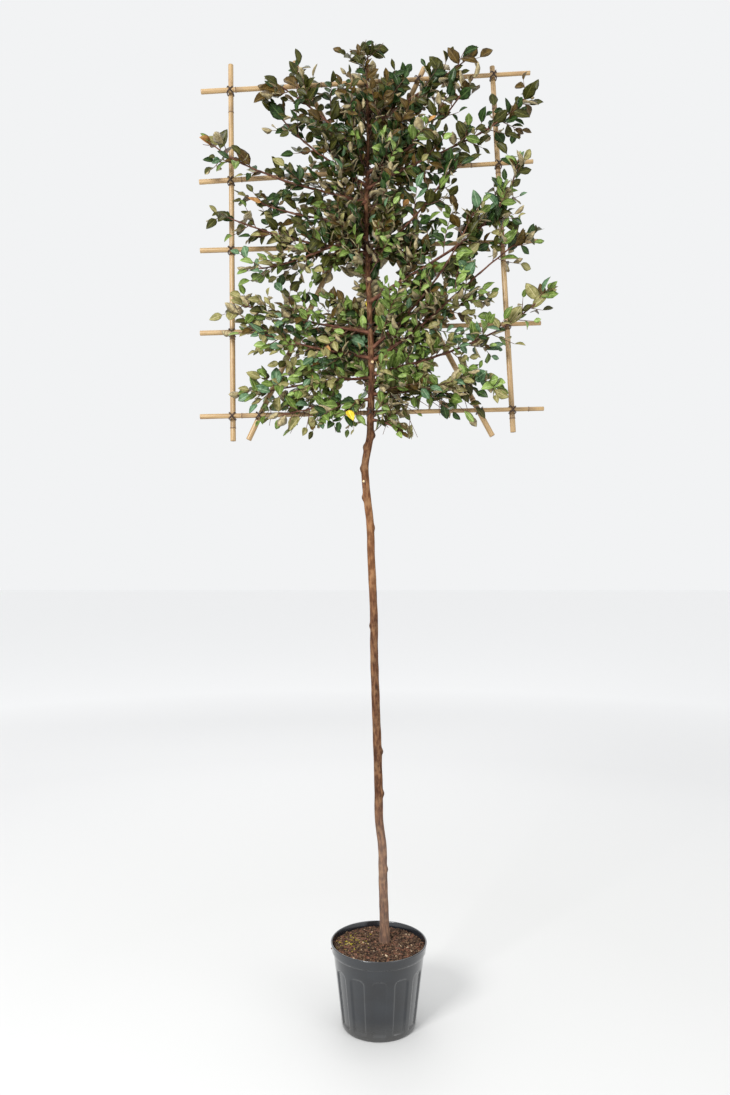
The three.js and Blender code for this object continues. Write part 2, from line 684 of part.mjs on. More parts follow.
// A bough: the bare inner share of an arm, cut to sit on the trunk.
function makeBough(arm, length) {
  const curve = new Stretch(arm.curve, 0, arm.bare);
  const rings = Math.max(4, Math.ceil((length * arm.bare) / BOUGH_RING));
  const solid = solidOf(limbGeometry(curve, boughRadius, LIMB_SIDES, rings));
  const cut = largestBody(solid.subtract(trunkRoom));
  return named(`bough_${arm.name}`, geometryOf(cut), FINISH.bough);
}

// A foliage mass: one stem, side twigs at the golden angle, then leaves along each twig.
function growMass(own, stem, longest, bushy, seed) {
  const length = stem.getLength();
  const rings = Math.ceil(length / STEM_RING);
  const stemChain = chainOf(own.name, stem, stemRadius, rings);
  const mass = { own, random: seededRandom(seed), leaves: [], wood: [stemChain] };
  const count = Math.max(2, Math.round((length * bushy) / TWIG_STEP));
  const twigs = [];
  for (let i = 0; i < count; i += 1) {
    const share = (i + 0.6) / count;
    const reach = longest * (1 - TWIG_SHORTENING * share);
    const root = stem.getPointAt(share);
    const twig = growTwig(mass, root, stem.getTangentAt(share), reach, i * GOLDEN_ANGLE);
    if (!twig) continue;
    twigs.push({ ...twig, scale: 1 - LEAF_SHRINKING * share });
    mass.wood.push(twig.chain);
  }
  for (const twig of twigs) {
    for (const place of LEAF_PLACES) {
      const angle = place === LEAF_PLACES.at(-1) ? LEAF_ANGLE / 2 : LEAF_ANGLE;
      growLeaf(mass, twig.chain, twig.line.getPointAt(place), twig.direction, angle, twig.scale);
    }
  }
  const axis = stem.getTangentAt(1);
  const tipScale = 1 - LEAF_SHRINKING;
  for (const [place, angle] of TIP_LEAVES) {
    growLeaf(mass, stemChain, stem.getPointAt(place), axis, angle, tipScale);
  }
  const bodies = [solidOf(limbGeometry(stem, stemRadius, STEM_SIDES, rings))];
  for (const twig of twigs) bodies.push(solidOf(twigGeometry(twig.line, twig.direction)));
  for (const leaf of mass.leaves) bodies.push(solidOf(leafGeometry(leaf)));
  return wasm.Manifold.union(bodies);
}

// The trunk as a solid, as the room that boughs and foliage leave it, and as a chain.
const trunkSolid = solidOf(trunkGeometry(0, SOIL_HEIGHT + GAP));
const trunkRoom = solidOf(trunkGeometry(GAP, SOIL_HEIGHT + GAP));
const trunkTip = trunkCentre(TRUNK_BENDS.at(-1).height);
const trunkHeight = trunkTip.z - SOIL_HEIGHT;
const trunkPoints = [];
for (let i = 0; i <= TRUNK_CHAIN; i += 1) {
  trunkPoints.push(trunkCentre(SOIL_HEIGHT + (i / TRUNK_CHAIN) * trunkHeight));
}
const trunkRadii = trunkPoints.map((point) => trunkRadius(point.z));
limbs.push({ name: "trunk", points: trunkPoints, radii: trunkRadii });

const group = new THREE.Group();
group.add(makePot(), makeSoil());
group.add(named("trunk", geometryOf(trunkSolid), FINISH.bark));
group.add(...makeLattice());

// Every arm's centre line is known before anything grows, because each marks out its own space.
for (const arm of ARMS) {
  arm.curve = armCurve(arm);
  arm.chain = chainOf(arm.name, arm.curve, () => BOUGH_END_RADIUS, ARM_CHAIN);
  arms.push(arm.chain);
  limbs.push(arm.chain);
}
const leaderFoot = trunkTip.clone().setZ(trunkTip.z + GAP);
const leaderCurve = new THREE.LineCurve3(leaderFoot, new THREE.Vector3(trunkTip.x, trunkTip.y, LEADER.top));
const leaderChain = chainOf(LEADER.name, leaderCurve, () => STEM_TIP_RADIUS, 2);
arms.push(leaderChain);

ARMS.forEach((arm, index) => {
  const length = arm.curve.getLength();
  const bushy = arm.bushy ?? 1;
  const seed = FIRST_SEED + index;
  if (arm.bare > 0) group.add(makeBough(arm, length));
  const from = arm.bare > 0 ? arm.bare + GAP / length : 0;
  const grown = growMass(arm.chain, new Stretch(arm.curve, from, 1), arm.twig, bushy, seed);
  const clear = arm.bare > 0 ? grown : grown.subtract(trunkRoom);
  group.add(named(`foliage_${arm.name}`, geometryOf(largestBody(clear)), FINISH.leaf));
});
const leader = growMass(leaderChain, leaderCurve, LEADER.twig, LEADER.bushy, FIRST_SEED + ARMS.length);
group.add(named(`foliage_${LEADER.name}`, geometryOf(largestBody(leader)), FINISH.leaf));

export default group;
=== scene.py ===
import math

import bmesh
import bpy
import numpy as np
from mathutils import Matrix, Vector, noise


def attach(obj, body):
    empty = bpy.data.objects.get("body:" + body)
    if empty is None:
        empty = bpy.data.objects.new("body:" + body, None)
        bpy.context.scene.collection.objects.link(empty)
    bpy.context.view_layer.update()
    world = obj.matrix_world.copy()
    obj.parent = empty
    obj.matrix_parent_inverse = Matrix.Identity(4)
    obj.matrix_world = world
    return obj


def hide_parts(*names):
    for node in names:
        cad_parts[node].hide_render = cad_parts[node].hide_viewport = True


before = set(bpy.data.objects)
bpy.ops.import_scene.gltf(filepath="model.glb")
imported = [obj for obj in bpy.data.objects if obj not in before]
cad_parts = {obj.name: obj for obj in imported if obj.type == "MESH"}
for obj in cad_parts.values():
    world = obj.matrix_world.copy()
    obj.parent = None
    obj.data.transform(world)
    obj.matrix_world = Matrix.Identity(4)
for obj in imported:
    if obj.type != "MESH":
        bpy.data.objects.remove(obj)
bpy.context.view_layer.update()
up = np.array([0.0, 0.0, 1.0])
fullTurn = 2 * np.pi
goldenAngle = 137.5


def linear(hexCode):
    # sRGB hex to the linear colour that Blender's sockets want
    channels = [int(hexCode[i:i + 2], 16) / 255 for i in (1, 3, 5)]
    return [c / 12.92 if c <= 0.04045 else ((c + 0.055) / 1.055) ** 2.4 for c in channels] + [1.0]


def newObject(name, data):
    item = bpy.data.objects.new(name, data)
    bpy.context.scene.collection.objects.link(item)
    return item


def setUp(tree, node, settings):
    # settings: the node's properties by name, "stops" for a ramp, and what its inputs get, by name or number:
    # a value, a hex colour, a socket, or a node, whose first output in use is meant
    inputs = {}
    for key, value in settings.items():
        if key == "stops":
            elements = node.color_ramp.elements
            while len(elements) < len(value):
                elements.new(0.5)
            for element, (place, colour) in zip(elements, value):
                element.position = place
                element.color = linear(colour) if isinstance(colour, str) else [colour] * 3 + [1.0]
        elif hasattr(node, str(key)):
            setattr(node, key, value)
        else:
            inputs[key] = value
    for key, value in inputs.items():
        named = [socket for socket in node.inputs if socket.enabled and socket.name == key]
        socket = named[0] if named else node.inputs[key]
        if isinstance(value, bpy.types.Node):
            value = next(output for output in value.outputs if output.enabled)
        if isinstance(value, bpy.types.NodeSocket):
            tree.links.new(value, socket)
        else:
            socket.default_value = linear(value) if str(value).startswith("#") else value


def addNode(tree, kind, settings=None):
    # kind: the node's type without the family name before it
    families = ("ShaderNode", "GeometryNode", "FunctionNode")
    node = tree.nodes.new(next(family + kind for family in families if hasattr(bpy.types, family + kind)))
    setUp(tree, node, settings or {})
    return node


def newMaterial(name, roughness, ior=1.45, **sockets):
    material = bpy.data.materials.new(name)
    material.use_nodes = True
    shader = material.node_tree.nodes["Principled BSDF"]
    for key, value in {"Roughness": roughness, "IOR": ior, **sockets}.items():
        shader.inputs[key.replace("_", " ")].default_value = value
    return material, material.node_tree, shader


def setValues(mesh, name, kind, domain, data):
    attribute = mesh.attributes.new(name, kind, domain)
    attribute.data.foreach_set("vector" if kind == "FLOAT_VECTOR" else "value", np.ravel(data).tolist())


def meshObject(name, verts, faces, materials, slots=None, smooth=True, uvs=None, values=None):
    mesh = bpy.data.meshes.new(name)
    mesh.from_pydata([tuple(v) for v in np.asarray(verts).tolist()], [], faces)
    for material in materials:
        mesh.materials.append(material)
    if slots:
        mesh.polygons.foreach_set("material_index", slots)
    mesh.polygons.foreach_set("use_smooth", [smooth] * len(mesh.polygons))
    if uvs:
        layer = mesh.uv_layers.new(name="UVMap")
        corners = np.zeros(len(mesh.loops), int)
        mesh.loops.foreach_get("vertex_index", corners)
        layer.data.foreach_set("uv", np.asarray(uvs, float)[corners].ravel())
    for key, data in (values or {}).items():
        setValues(mesh, key, "FLOAT_VECTOR" if np.ndim(data) == 2 else "FLOAT", "POINT", data)
    mesh.update()
    return newObject(name, mesh)


def settle(piece, slotName, *nodes):
    # the piece joins the plant's one body and stands for its solids
    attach(piece, "root")
    if nodes:
        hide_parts(*nodes)
    print(f"  {piece.name}: {sum(len(p.vertices) - 2 for p in piece.data.polygons)} triangles")


def vary(random, least, spread):
    return least + spread * random()


def unit(vector):
    return vector / max(1e-12, np.linalg.norm(vector))


def lengthsAlong(points):
    return np.concatenate([[0], np.cumsum(np.linalg.norm(np.diff(points, axis=0), axis=1))])


def tangentsOf(points):
    tangents = np.gradient(points, axis=0)
    return tangents / np.linalg.norm(tangents, axis=1)[:, None]


def bent(start, middle, end, share):
    # a curve from start to end, drawn towards the middle point
    return (1 - share) ** 2 * start + 2 * (1 - share) * share * middle + share ** 2 * end


def spokesAlong(tangents, sides):
    # directions round each ring, which turn as little as possible from ring to ring
    start = np.cross(tangents[0], [0.0, 1.0, 0.0])
    normal = unit(start if np.linalg.norm(start) > 0.2 else np.cross(tangents[0], [1.0, 0.0, 0.0]))
    normals = np.zeros_like(tangents)
    for i, tangent in enumerate(tangents):
        normal = unit(normal - tangent * normal.dot(tangent))
        normals[i] = normal
    binormals = np.cross(tangents, normals)
    angles = np.arange(sides) / sides * fullTurn
    return angles, (np.cos(angles)[None, :, None] * normals[:, None, :]
                    + np.sin(angles)[None, :, None] * binormals[:, None, :])


def sweptTube(points, spokes, ringRadii):
    # a closed tube; ringRadii holds one radius for each ring and side
    rings, sides = ringRadii.shape
    verts = (points[:, None, :] + ringRadii[:, :, None] * spokes).reshape(-1, 3)
    last = (rings - 1) * sides
    faces = [(i + j, i + (j + 1) % sides, i + sides + (j + 1) % sides, i + sides + j)
             for i in range(0, last, sides) for j in range(sides)]
    return verts, faces + [tuple(reversed(range(sides))), tuple(range(last, last + sides))]


def joinParts(parts):
    # several (verts, faces, values) as one
    faces, values, count = [], {}, 0
    for partVerts, partFaces, partValues in parts:
        faces += [tuple(i + count for i in face) for face in partFaces]
        for key, data in partValues.items():
            values.setdefault(key, []).append(data)
        count += len(partVerts)
    verts = np.concatenate([part[0] for part in parts])
    return verts, faces, {key: np.concatenate(data) for key, data in values.items()}


def nodeTree(name, inputs):
    # an empty Geometry Nodes tree and the sockets of its named inputs
    tree = bpy.data.node_groups.new(name, "GeometryNodeTree")
    for title, kind, value in [("Geometry", "Geometry", None)] + inputs:
        socket = tree.interface.new_socket(title, in_out="INPUT", socket_type="NodeSocket" + kind)
        if value is not None:
            socket.default_value = value
    tree.interface.new_socket("Geometry", in_out="OUTPUT", socket_type="NodeSocketGeometry")
    return tree, tree.nodes.new("NodeGroupInput").outputs


def endTree(tree, geometry, paints):
    # makes the geometry real and sets its materials
    last = addNode(tree, "RealizeInstances", {"Geometry": geometry})
    for paint in paints:
        last = addNode(tree, "SetMaterial", {"Geometry": last, **paint})
    setUp(tree, tree.nodes.new("NodeGroupOutput"), {"Geometry": last})
    return tree


def applyTree(carrier, tree, inputs, name):
    # runs the tree on the carrier and keeps the result as a plain mesh
    modifier = carrier.modifiers.new("nodes", "NODES")
    modifier.node_group = tree
    for item in tree.interface.items_tree:
        if item.in_out == "INPUT" and item.name in inputs:
            modifier[item.identifier] = inputs[item.name]
    depsgraph = bpy.context.evaluated_depsgraph_get()
    mesh = bpy.data.meshes.new_from_object(carrier.evaluated_get(depsgraph), depsgraph=depsgraph)
    carrier.modifiers.remove(modifier)
    bpy.data.objects.remove(carrier)
    mesh.name = name
    return newObject(name, mesh)


def shapeCollection(name, shapes):
    # shapes for a tree to deal out, kept out of the scene itself
    collection = bpy.data.collections.new(name)
    for shape in shapes:
        bpy.context.scene.collection.objects.unlink(shape)
        collection.objects.link(shape)
    return collection


def stemMaterial(name, roughness, ior, look, **sockets):
    # a stem's skin along its own grain: fine streaks, patches over them and dark scars; on the knots these
    # scars are partly painted shade, and in a cane's hollow end the darkness is painted shade
    material, tree, shader = newMaterial(name, roughness, ior, **sockets)
    grain = addNode(tree, "Attribute", {"attribute_name": "grain"}).outputs["Vector"]
    scar = addNode(tree, "Attribute", {"attribute_name": "scar"}).outputs["Fac"]
    noises = []
    for lengthwise, scale, detail, rough in (look["streakNoise"], look["patchNoise"]):
        stretched = addNode(tree, "Mapping", {"Vector": grain, "Scale": (1, 1, lengthwise)})
        noises.append(addNode(tree, "TexNoise", {
            "Vector": stretched, "Scale": scale, "Detail": detail, "Roughness": rough}))
    streaks, patches = noises
    colours = addNode(tree, "ValToRGB", {"Fac": streaks, "stops": look["streaks"]})
    share = addNode(tree, "ValToRGB", {"Fac": patches, "stops": look["patchShare"]})
    mixed = addNode(tree, "Mix", {"data_type": "RGBA", "Factor": share, "A": colours, "B": look["patch"]})
    if "tonesAndShade" in look:
        # the tone changes over the 3 m of the stem: greyer near the foot, and darker in the middle and inside
        # the crown, partly painted shade
        along = addNode(tree, "SeparateXYZ", {0: grain}).outputs["Z"]
        height = addNode(tree, "MapRange", {0: along, 1: 0.0, 2: 3.0, 3: 0.0, 4: 1.0})
        toneAndShade = addNode(tree, "ValToRGB", {"Fac": height, "stops": look["tonesAndShade"]})
        mixed = addNode(tree, "Mix", {"data_type": "RGBA", "Factor": 0.5, "A": mixed, "B": toneAndShade})
    strength, depthMm = look["relief"]
    setUp(tree, shader, {
        "Base Color": addNode(tree, "Mix", {
            "data_type": "RGBA", "Factor": scar, "A": mixed, "B": look["scar"]}),
        "Normal": addNode(tree, "Bump", {
            "Height": streaks, "Strength": strength, "Distance": depthMm / 1000})})
    return material


def leafMaterial(name, deep, light, vein, roughness):
    # leathery evergreen leaf: wax film over a soft green, paler along its veins
    material, tree, shader = newMaterial(name, roughness, 1.42, Specular_IOR_Level=0.24)
    place = addNode(tree, "TexCoord").outputs
    blotches = addNode(tree, "TexNoise", {  # about 10 mm across
        "Vector": place["Object"], "Scale": 95, "Detail": 3})
    colours = addNode(tree, "ValToRGB", {"Fac": blotches, "stops": [(0.36, deep), (0.64, light)]})
    across, along, _ = addNode(tree, "SeparateXYZ", {0: place["UV"]}).outputs
    aside = addNode(tree, "Math", {"operation": "SUBTRACT", 0: across, 1: 0.5})
    off = addNode(tree, "Math", {"operation": "ABSOLUTE", 0: aside})
    slant = addNode(tree, "Math", {"operation": "MULTIPLY_ADD", 0: off, 1: -0.55, 2: along})
    waves = addNode(tree, "Math", {"operation": "MULTIPLY", 0: slant, 1: 50.0})
    ribs = addNode(tree, "Math", {"operation": "SINE", 0: waves})
    sideVeins = addNode(tree, "MapRange", {0: ribs, 1: 0.78, 2: 1.0, 3: 0.0, 4: 0.32})
    midrib = addNode(tree, "MapRange", {0: off, 1: 0.055, 2: 0.018, 3: 0.0, 4: 0.8})
    veins = addNode(tree, "Math", {"operation": "MAXIMUM", 0: sideVeins, 1: midrib})
    setUp(tree, shader, {
        "Base Color": addNode(tree, "Mix", {"data_type": "RGBA", "Factor": veins, "A": colours, "B": vein}),
        "Normal": addNode(tree, "Bump", {
            "invert": True, "Height": veins, "Strength": 0.35, "Distance": 0.0004})})
    return material


def scurfMaterial(name, pale, dark, speck):
    # leaf back: a coat of silvery scales with rusty ones among them, drawn 1 mm wide so they show
    material, tree, shader = newMaterial(name, 0.62, 1.4, Sheen_Weight=0.12)
    place = addNode(tree, "TexCoord").outputs["Object"]
    soft = addNode(tree, "TexNoise", {"Vector": place, "Scale": 120, "Detail": 2})
    colours = addNode(tree, "ValToRGB", {"Fac": soft, "stops": [(0.38, dark), (0.62, pale)]})
    scales = addNode(tree, "TexNoise", {"Vector": place, "Scale": 1000, "Detail": 1})
    rusty = addNode(tree, "ValToRGB", {"Fac": scales, "stops": [(0.6, 0.0), (0.7, 0.6)]})
    setUp(tree, shader, {
        "Base Color": addNode(tree, "Mix", {"data_type": "RGBA", "Factor": rusty, "A": colours, "B": speck})})
    return material


def potMaterial():
    # injection moulded polypropylene: slate grey, satin, dusty at the foot and faintly scuffed
    material, tree, shader = newMaterial(
        "mouldedPolypropylene", 0.3, 1.52, Coat_Weight=0.7, Coat_Roughness=0.1)
    place = addNode(tree, "TexCoord").outputs["Object"]
    cloud = addNode(tree, "TexNoise", {"Vector": place, "Scale": 14, "Detail": 5})
    colours = addNode(tree, "ValToRGB", {"Fac": cloud, "stops": [(0.35, "#101318"), (0.65, "#1a1f25")]})
    flat = addNode(tree, "Mapping", {"Vector": place, "Scale": (1, 1, 0.12)})
    scuff = addNode(tree, "TexNoise", {"Vector": flat, "Scale": 210, "Detail": 4, "Roughness": 0.7})
    marks = addNode(tree, "ValToRGB", {"Fac": scuff, "stops": [(0.62, 0.0), (0.85, 0.3)]})
    marked = addNode(tree, "Mix", {"data_type": "RGBA", "Factor": marks, "A": colours, "B": "#62676a"})
    height = addNode(tree, "SeparateXYZ", {0: place}).outputs["Z"]
    foot = addNode(tree, "MapRange", {0: height, 1: 0.07, 2: 0.0, 3: 0.0, 4: 0.25})
    fine = addNode(tree, "TexNoise", {"Vector": place, "Scale": 900, "Detail": 2})
    setUp(tree, shader, {
        "Base Color": addNode(tree, "Mix", {
            "data_type": "RGBA", "Factor": foot, "A": marked, "B": "#75726c"}),
        "Roughness": addNode(tree, "MapRange", {0: scuff, 1: 0.3, 2: 0.7, 3: 0.18, 4: 0.25}),
        "Normal": addNode(tree, "Bump", {"Height": fine, "Strength": 0.12, "Distance": 0.0003})})
    return material


def grainyMaterial(name, stops, scaleMm, roughness, depthMm=0.6):
    # crumbly or fibrous stuff: colours change from grain to grain
    material, tree, shader = newMaterial(name, roughness, 1.4)
    grains = addNode(tree, "TexNoise", {
        "Vector": addNode(tree, "TexCoord").outputs["Object"], "Scale": 1000 / scaleMm, "Detail": 6,
        "Roughness": 0.68})
    setUp(tree, shader, {
        "Base Color": addNode(tree, "ValToRGB", {"Fac": grains, "stops": stops}),
        "Normal": addNode(tree, "Bump", {"Height": grains, "Strength": 0.8, "Distance": depthMm / 1000})})
    return material


def wireMaterial():
    # plastic coated tying wire, dark brown, with worn spots
    material, tree, shader = newMaterial("coatedTyingWire", 0.5, 1.5)
    wear = addNode(tree, "TexNoise", {
        "Vector": addNode(tree, "TexCoord").outputs["Object"], "Scale": 260, "Detail": 3})
    setUp(tree, shader, {
        "Base Color": addNode(tree, "ValToRGB", {
            "Fac": wear, "stops": [(0.4, "#2b201b"), (0.7, "#54392a")]})})
    return material


# a stem's look: noise as stretch along the stem, scale, detail and roughness; relief as strength and depth
# in mm
# periderm of stem and boughs: dry and matt, reddish with tan patches, finely split into plates 7 mm and
# 5 mm wide
barkLook = {"patchNoise": (1, 34, 4, 0.6), "patchShare": [(0.5, 0.0), (0.68, 0.65)], "scar": "#33231c",
            "relief": (0.55, 1.2)}
trunkBark = stemMaterial("stemBark", 0.76, 1.45, {
    **barkLook, "streakNoise": (0.22, 1000 / 7, 6, 0.62), "patch": "#b08c66",
    "streaks": [(0.34, "#29180f"), (0.5, "#6f4a33"), (0.64, "#a87d58")],
    # darker from about 0.75 m to 1.35 m up and darkest from 1.95 m up, inside the crown: partly painted shade
    "tonesAndShade": [(0.12, "#74635a"), (0.17, "#3f2618"), (0.37, "#3f2618"), (0.42, "#744c2b"), (0.48, "#744c2b"),
              (0.57, "#2e140a")],
}, Specular_IOR_Level=0.2)
youngBark = stemMaterial("youngBark", 0.62, 1.45, {
    **barkLook, "streakNoise": (0.22, 1000 / 5, 6, 0.62), "patch": "#786050",
    "streaks": [(0.3, "#301d17"), (0.5, "#573629"), (0.7, "#855b45")],
}, Specular_IOR_Level=0.2)
# dried bamboo culm: waxy straw skin with fibre streaks near 2 mm, brown patches and dark node scars
bamboo = stemMaterial("driedBamboo", 0.42, 1.5, {
    "streakNoise": (0.02, 520, 4, 0.6), "streaks": [(0.3, "#886d4a"), (0.5, "#a88a5e"), (0.72, "#bba177")],
    "patchNoise": (0.3, 42, 5, 0.65), "patchShare": [(0.56, 0.0), (0.74, 0.75)], "patch": "#80593a",
    "scar": "#4a2f1d", "relief": (0.2, 0.4),
}, Coat_Weight=0.12, Coat_Roughness=0.3)
twigBark = grainyMaterial("twigBark", [(0.36, "#3f2a23"), (0.64, "#704a38")], 5, 0.55, 0.1)
cutWood = grainyMaterial("prunedWood", [(0.35, "#b99b6d"), (0.6, "#dcc79b")], 4, 0.7, 0.2)
upperMaterials = [leafMaterial("leaf" + name, *look) for name, *look in (
    ("Olive", "#28290b", "#434419", "#626233", 0.36),
    ("Bronze", "#35280d", "#55431b", "#745e33", 0.38),
    ("DeepGreen", "#14230c", "#2d451d", "#556a3d", 0.31),
    ("Green", "#435620", "#6a823b", "#96a663", 0.34),
    ("Fresh", "#667f38", "#91a95b", "#bac992", 0.4),
    # a greyish blue green that stands for the sheen on glossy leaves: painted sheen
    ("BlueSheen", "#3a5739", "#5f7f5c", "#93a787", 0.32),
    ("Yellow", "#bda11c", "#dcc638", "#e8da7a", 0.48),
    ("Dry", "#99693a", "#bd9258", "#7d5530", 0.7),
    ("PaleOlive", "#696636", "#918c5a", "#b0a67c", 0.42),
)]
leafBack = scurfMaterial("silveryLeafBack", "#b0a37a", "#827453", "#75573c")
potPlastic = potMaterial()
compost = grainyMaterial(
    "peatCompost", [(0.34, "#120c07"), (0.48, "#35241a"), (0.6, "#6b513b"), (0.72, "#ac9674")], 7, 0.95, 1.5)
barkChip = grainyMaterial("barkChip", [(0.35, "#43291c"), (0.55, "#6d4835"), (0.75, "#a8886c")], 5, 0.85)
paleChip = grainyMaterial("paleWoodChip", [(0.35, "#9a7f65"), (0.7, "#cfbb9c")], 5, 0.8)
moss = grainyMaterial("moss", [(0.35, "#7b7222"), (0.55, "#a8992c"), (0.75, "#cdb83c")], 3, 0.9)
tyingWire = wireMaterial()
print("materials ready")


camera = {"place": (-0.046, -2.98, 1.584), "focalPixels": 894, "longSide": 1095, "filmMm": 36}
cameraData = bpy.data.cameras.new("camera")
cameraData.lens = camera["focalPixels"] / camera["longSide"] * camera["filmMm"]
cameraData.sensor_width = camera["filmMm"]
cameraData.clip_end = 100
cameraObject = newObject("camera", cameraData)
cameraObject.location = camera["place"]
cameraObject.rotation_euler = (math.radians(90), 0, 0)
bpy.context.scene.camera = cameraObject
bpy.context.scene.view_settings.view_transform = "Standard"

studio = {  # place, size, watts
    "keyLight": ((-2.4, -3.6, 3.7), 1.4, 210), "fillLight": ((3.2, -3.0, 2.8), 2.8, 44),
    "topLight": ((0.2, 0.6, 5.6), 3.0, 34), "backLight": ((-0.6, 3.8, 3.4), 3.0, 36),
}
crownMiddle = Vector((0, 0, 1.7))
for name, (place, size, watts) in studio.items():
    lightData = bpy.data.lights.new(name, "AREA")
    lightData.size = size
    lightData.energy = watts
    lamp = newObject(name, lightData)
    lamp.location = place
    lamp.rotation_euler = (crownMiddle - lamp.location).to_track_quat("-Z", "Y").to_euler()

world = bpy.data.worlds.new("paleStudio")
world.use_nodes = True
world.node_tree.nodes["Background"].inputs["Color"].default_value = linear("#f2f3f4")
world.node_tree.nodes["Background"].inputs["Strength"].default_value = 1.0
bpy.context.scene.world = world

# matt floor paint, paler with the distance from the pot: painted light, which makes up for the lamps' light
# falling off with distance
floorPaint, floorTree, floorShader = newMaterial("paleFloorPaint", 0.75)
floorReach = addNode(floorTree, "VectorMath", {
    "operation": "LENGTH", 0: addNode(floorTree, "TexCoord").outputs["Object"]})
floorFar = addNode(floorTree, "MapRange", {0: floorReach, 1: 1.2, 2: 7.0, 3: 0.0, 4: 1.0})
setUp(floorTree, floorShader, {"Base Color": addNode(floorTree, "ValToRGB", {
    "Fac": floorFar, "stops": [(0.0, "#d0d0cf"), (0.45, "#dddddd"), (1.0, "#fafafa")]})})
floorHalf = 30
floorCorners = [(x * floorHalf, y * floorHalf, 0) for x, y in ((-1, -1), (1, -1), (1, 1), (-1, 1))]
floor = meshObject("floor", floorCorners, [(0, 1, 2, 3)], [floorPaint])
print("camera, light and floor ready")


trunk = {
    "bends": [(0.250, 0.020), (0.560, 0.013), (0.700, 0.0), (1.320, -0.016), (1.600, -0.026), (1.850, -0.046),
              (1.975, -0.028), (2.150, -0.024), (2.700, -0.042), (2.930, -0.036), (3.190, -0.037)],
    "footY": 0.012, "uprightFrom": 1.85, "soil": 0.25,
    "footRadius": 0.015, "headHeight": 1.975, "headRadius": 0.0122, "tipRadius": 0.0036,
    "flare": 0.006, "flareHeight": 0.045,
    # lowest and highest ring and their distance apart, for the flare and for the rest
    "rings": [(0.242, 0.40, 0.004), (0.40, 3.190, 0.006)], "sides": 22,
    # the bark's place in the noise and how rough it is
    "stemBark": (5, 0.075), "collarBark": (9, 0.06), "faceBark": (3, 0.02),
    # height, degrees round from the front (-Y) towards +X, width, how far it stands out
    "knots": [(1.957, 80, 0.011, 0.008), (0.903, 75, 0.010, 0.006), (0.763, 70, 0.011, 0.007),
              (0.510, 60, 0.010, 0.005), (1.920, -80, 0.011, 0.007), (1.847, -70, 0.011, 0.007),
              (1.750, -75, 0.011, 0.007), (1.323, -60, 0.010, 0.005), (1.120, 20, 0.010, 0.002),
              (1.480, 170, 0.011, 0.005), (0.620, 190, 0.010, 0.004), (1.650, 100, 0.010, 0.004)],
    # height, degrees, radius of the cream face
    "cuts": [(2.474, 12, 0.0080), (2.197, 14, 0.0055), (1.800, -25, 0.0045)],
    # a pruned spur's callus collar and the face inside it: distance out, share of the face's radius
    "cutSides": 14, "sunk": 0.004, "cutRise": 0.25,
    "collar": [(0, 1.5), (0.003, 1.4), (0.0055, 1.25), (0.0072, 1.12), (0.0078, 0.98)],
    "face": [(0.006, 0.9), (0.0083, 0.86), (0.0086, 0.6)],
}
arms = [
    # name, height on the trunk, tip x and z, degrees at trunk and tip, tip depth, bare share, twig length
    ("left_1", 2875, (-345, 3106), (43, 27), -55, 0.2, 105),
    ("left_2", 2790, (-352, 3046), (34, 56), -20, 0, 105),
    ("left_3", 2735, (-560, 2910), (13, 36), -62, 0.17, 95),
    ("left_4", 2655, (-450, 2748), (9, 26), -30, 0, 90),
    ("left_5", 2565, (-538, 2690), (8, 24), -35, 0.17, 92),
    ("left_6", 2618, (-418, 2480), (-13, -5), -105, 0, 74),
    ("left_7", 2300, (-462, 2388), (9, 20), -40, 0.16, 84),
    ("left_8", 2215, (-430, 2300), (8, 20), -72, 0.16, 100),
    ("left_9", 2150, (-404, 2088), (-4, -14), -40, 0, 100),
    ("left_10", 2078, (-318, 2012), (-6, -14), -85, 0, 84),
    ("right_1", 2985, (300, 3196), (34, 36), -45, 0.2, 88),
    ("right_2", 2835, (292, 3096), (24, 57), -72, 0.18, 108),
    ("right_3", 2780, (500, 3082), (31, 48), -36, 0.2, 84),
    ("right_4", 2535, (250, 2850), (41, 60), -60, 0.17, 108),
    ("right_5", 2400, (456, 2856), (36, 82), -48, 0.45, 84),
    ("right_6", 2245, (306, 2672), (40, 66), -84, 0.22, 92),
    ("right_7", 2205, (482, 2604), (30, 34), -50, 0.3, 74),
    ("right_8", 2160, (556, 2424), (14, 46), -66, 0.2, 84),
    ("right_9", 2095, (345, 2140), (0, 10), -45, 0, 108),
    ("right_10", 2010, (62, 1962), (-12, -56), -58, 0, 48),
    ("back_upper", 3035, (10, 3120), (62, 62), 128, 0, 132),
    ("back_middle", 2672, (-64, 2760), (80, 80), 132, 0, 132),
    ("back_lower", 2225, (-50, 2300), (100, 100), 128, 0, 132),
]
limb = {
    "handle": 0.36, "curveSteps": 400, "leastPoints": 12, "pointGap": 0.006,
    "radius": 0.0066, "endRadius": 0.0044, "tipRadius": 0.0020,
    "leaderTop": 3.250, "leaderPoints": 14, "leaderTwig": 0.066, "leaderRadii": (0.0036, 0.0016),
    "leastBare": 0.08, "backThinner": 0.85, "collar": 0.0026, "collarLength": 0.02,
    # kinks where old leaves stood, and knots: one for each stretch of the bough
    "kink": 0.0016, "kinkFrom": 0.03, "kinkNoise": (26, 7.3, 3.1), "knotStretch": 0.07, "knotOff": 0.004,
    "knotSize": (0.006, 0.0016),
    "sides": 9, "rough": 0.09, "barkShift": 5.7, "knotSeed": 900,
}
# bark relief: how often it changes across and along the stem, shift by the seed, and how strong it is
relief = {"ridges": (260, 24, 1, 0.6), "lumps": (60, 22, 3, 1.0)}
# a knot: how steeply its bulge, the dimple in it and its dark scar fade, and the share of the last two; the
# dark scar is partly painted shade
knotForm = {"bulge": 1.2, "dimple": 9, "dimpleShare": 0.25, "scar": 3.5, "scarShare": 0.8}


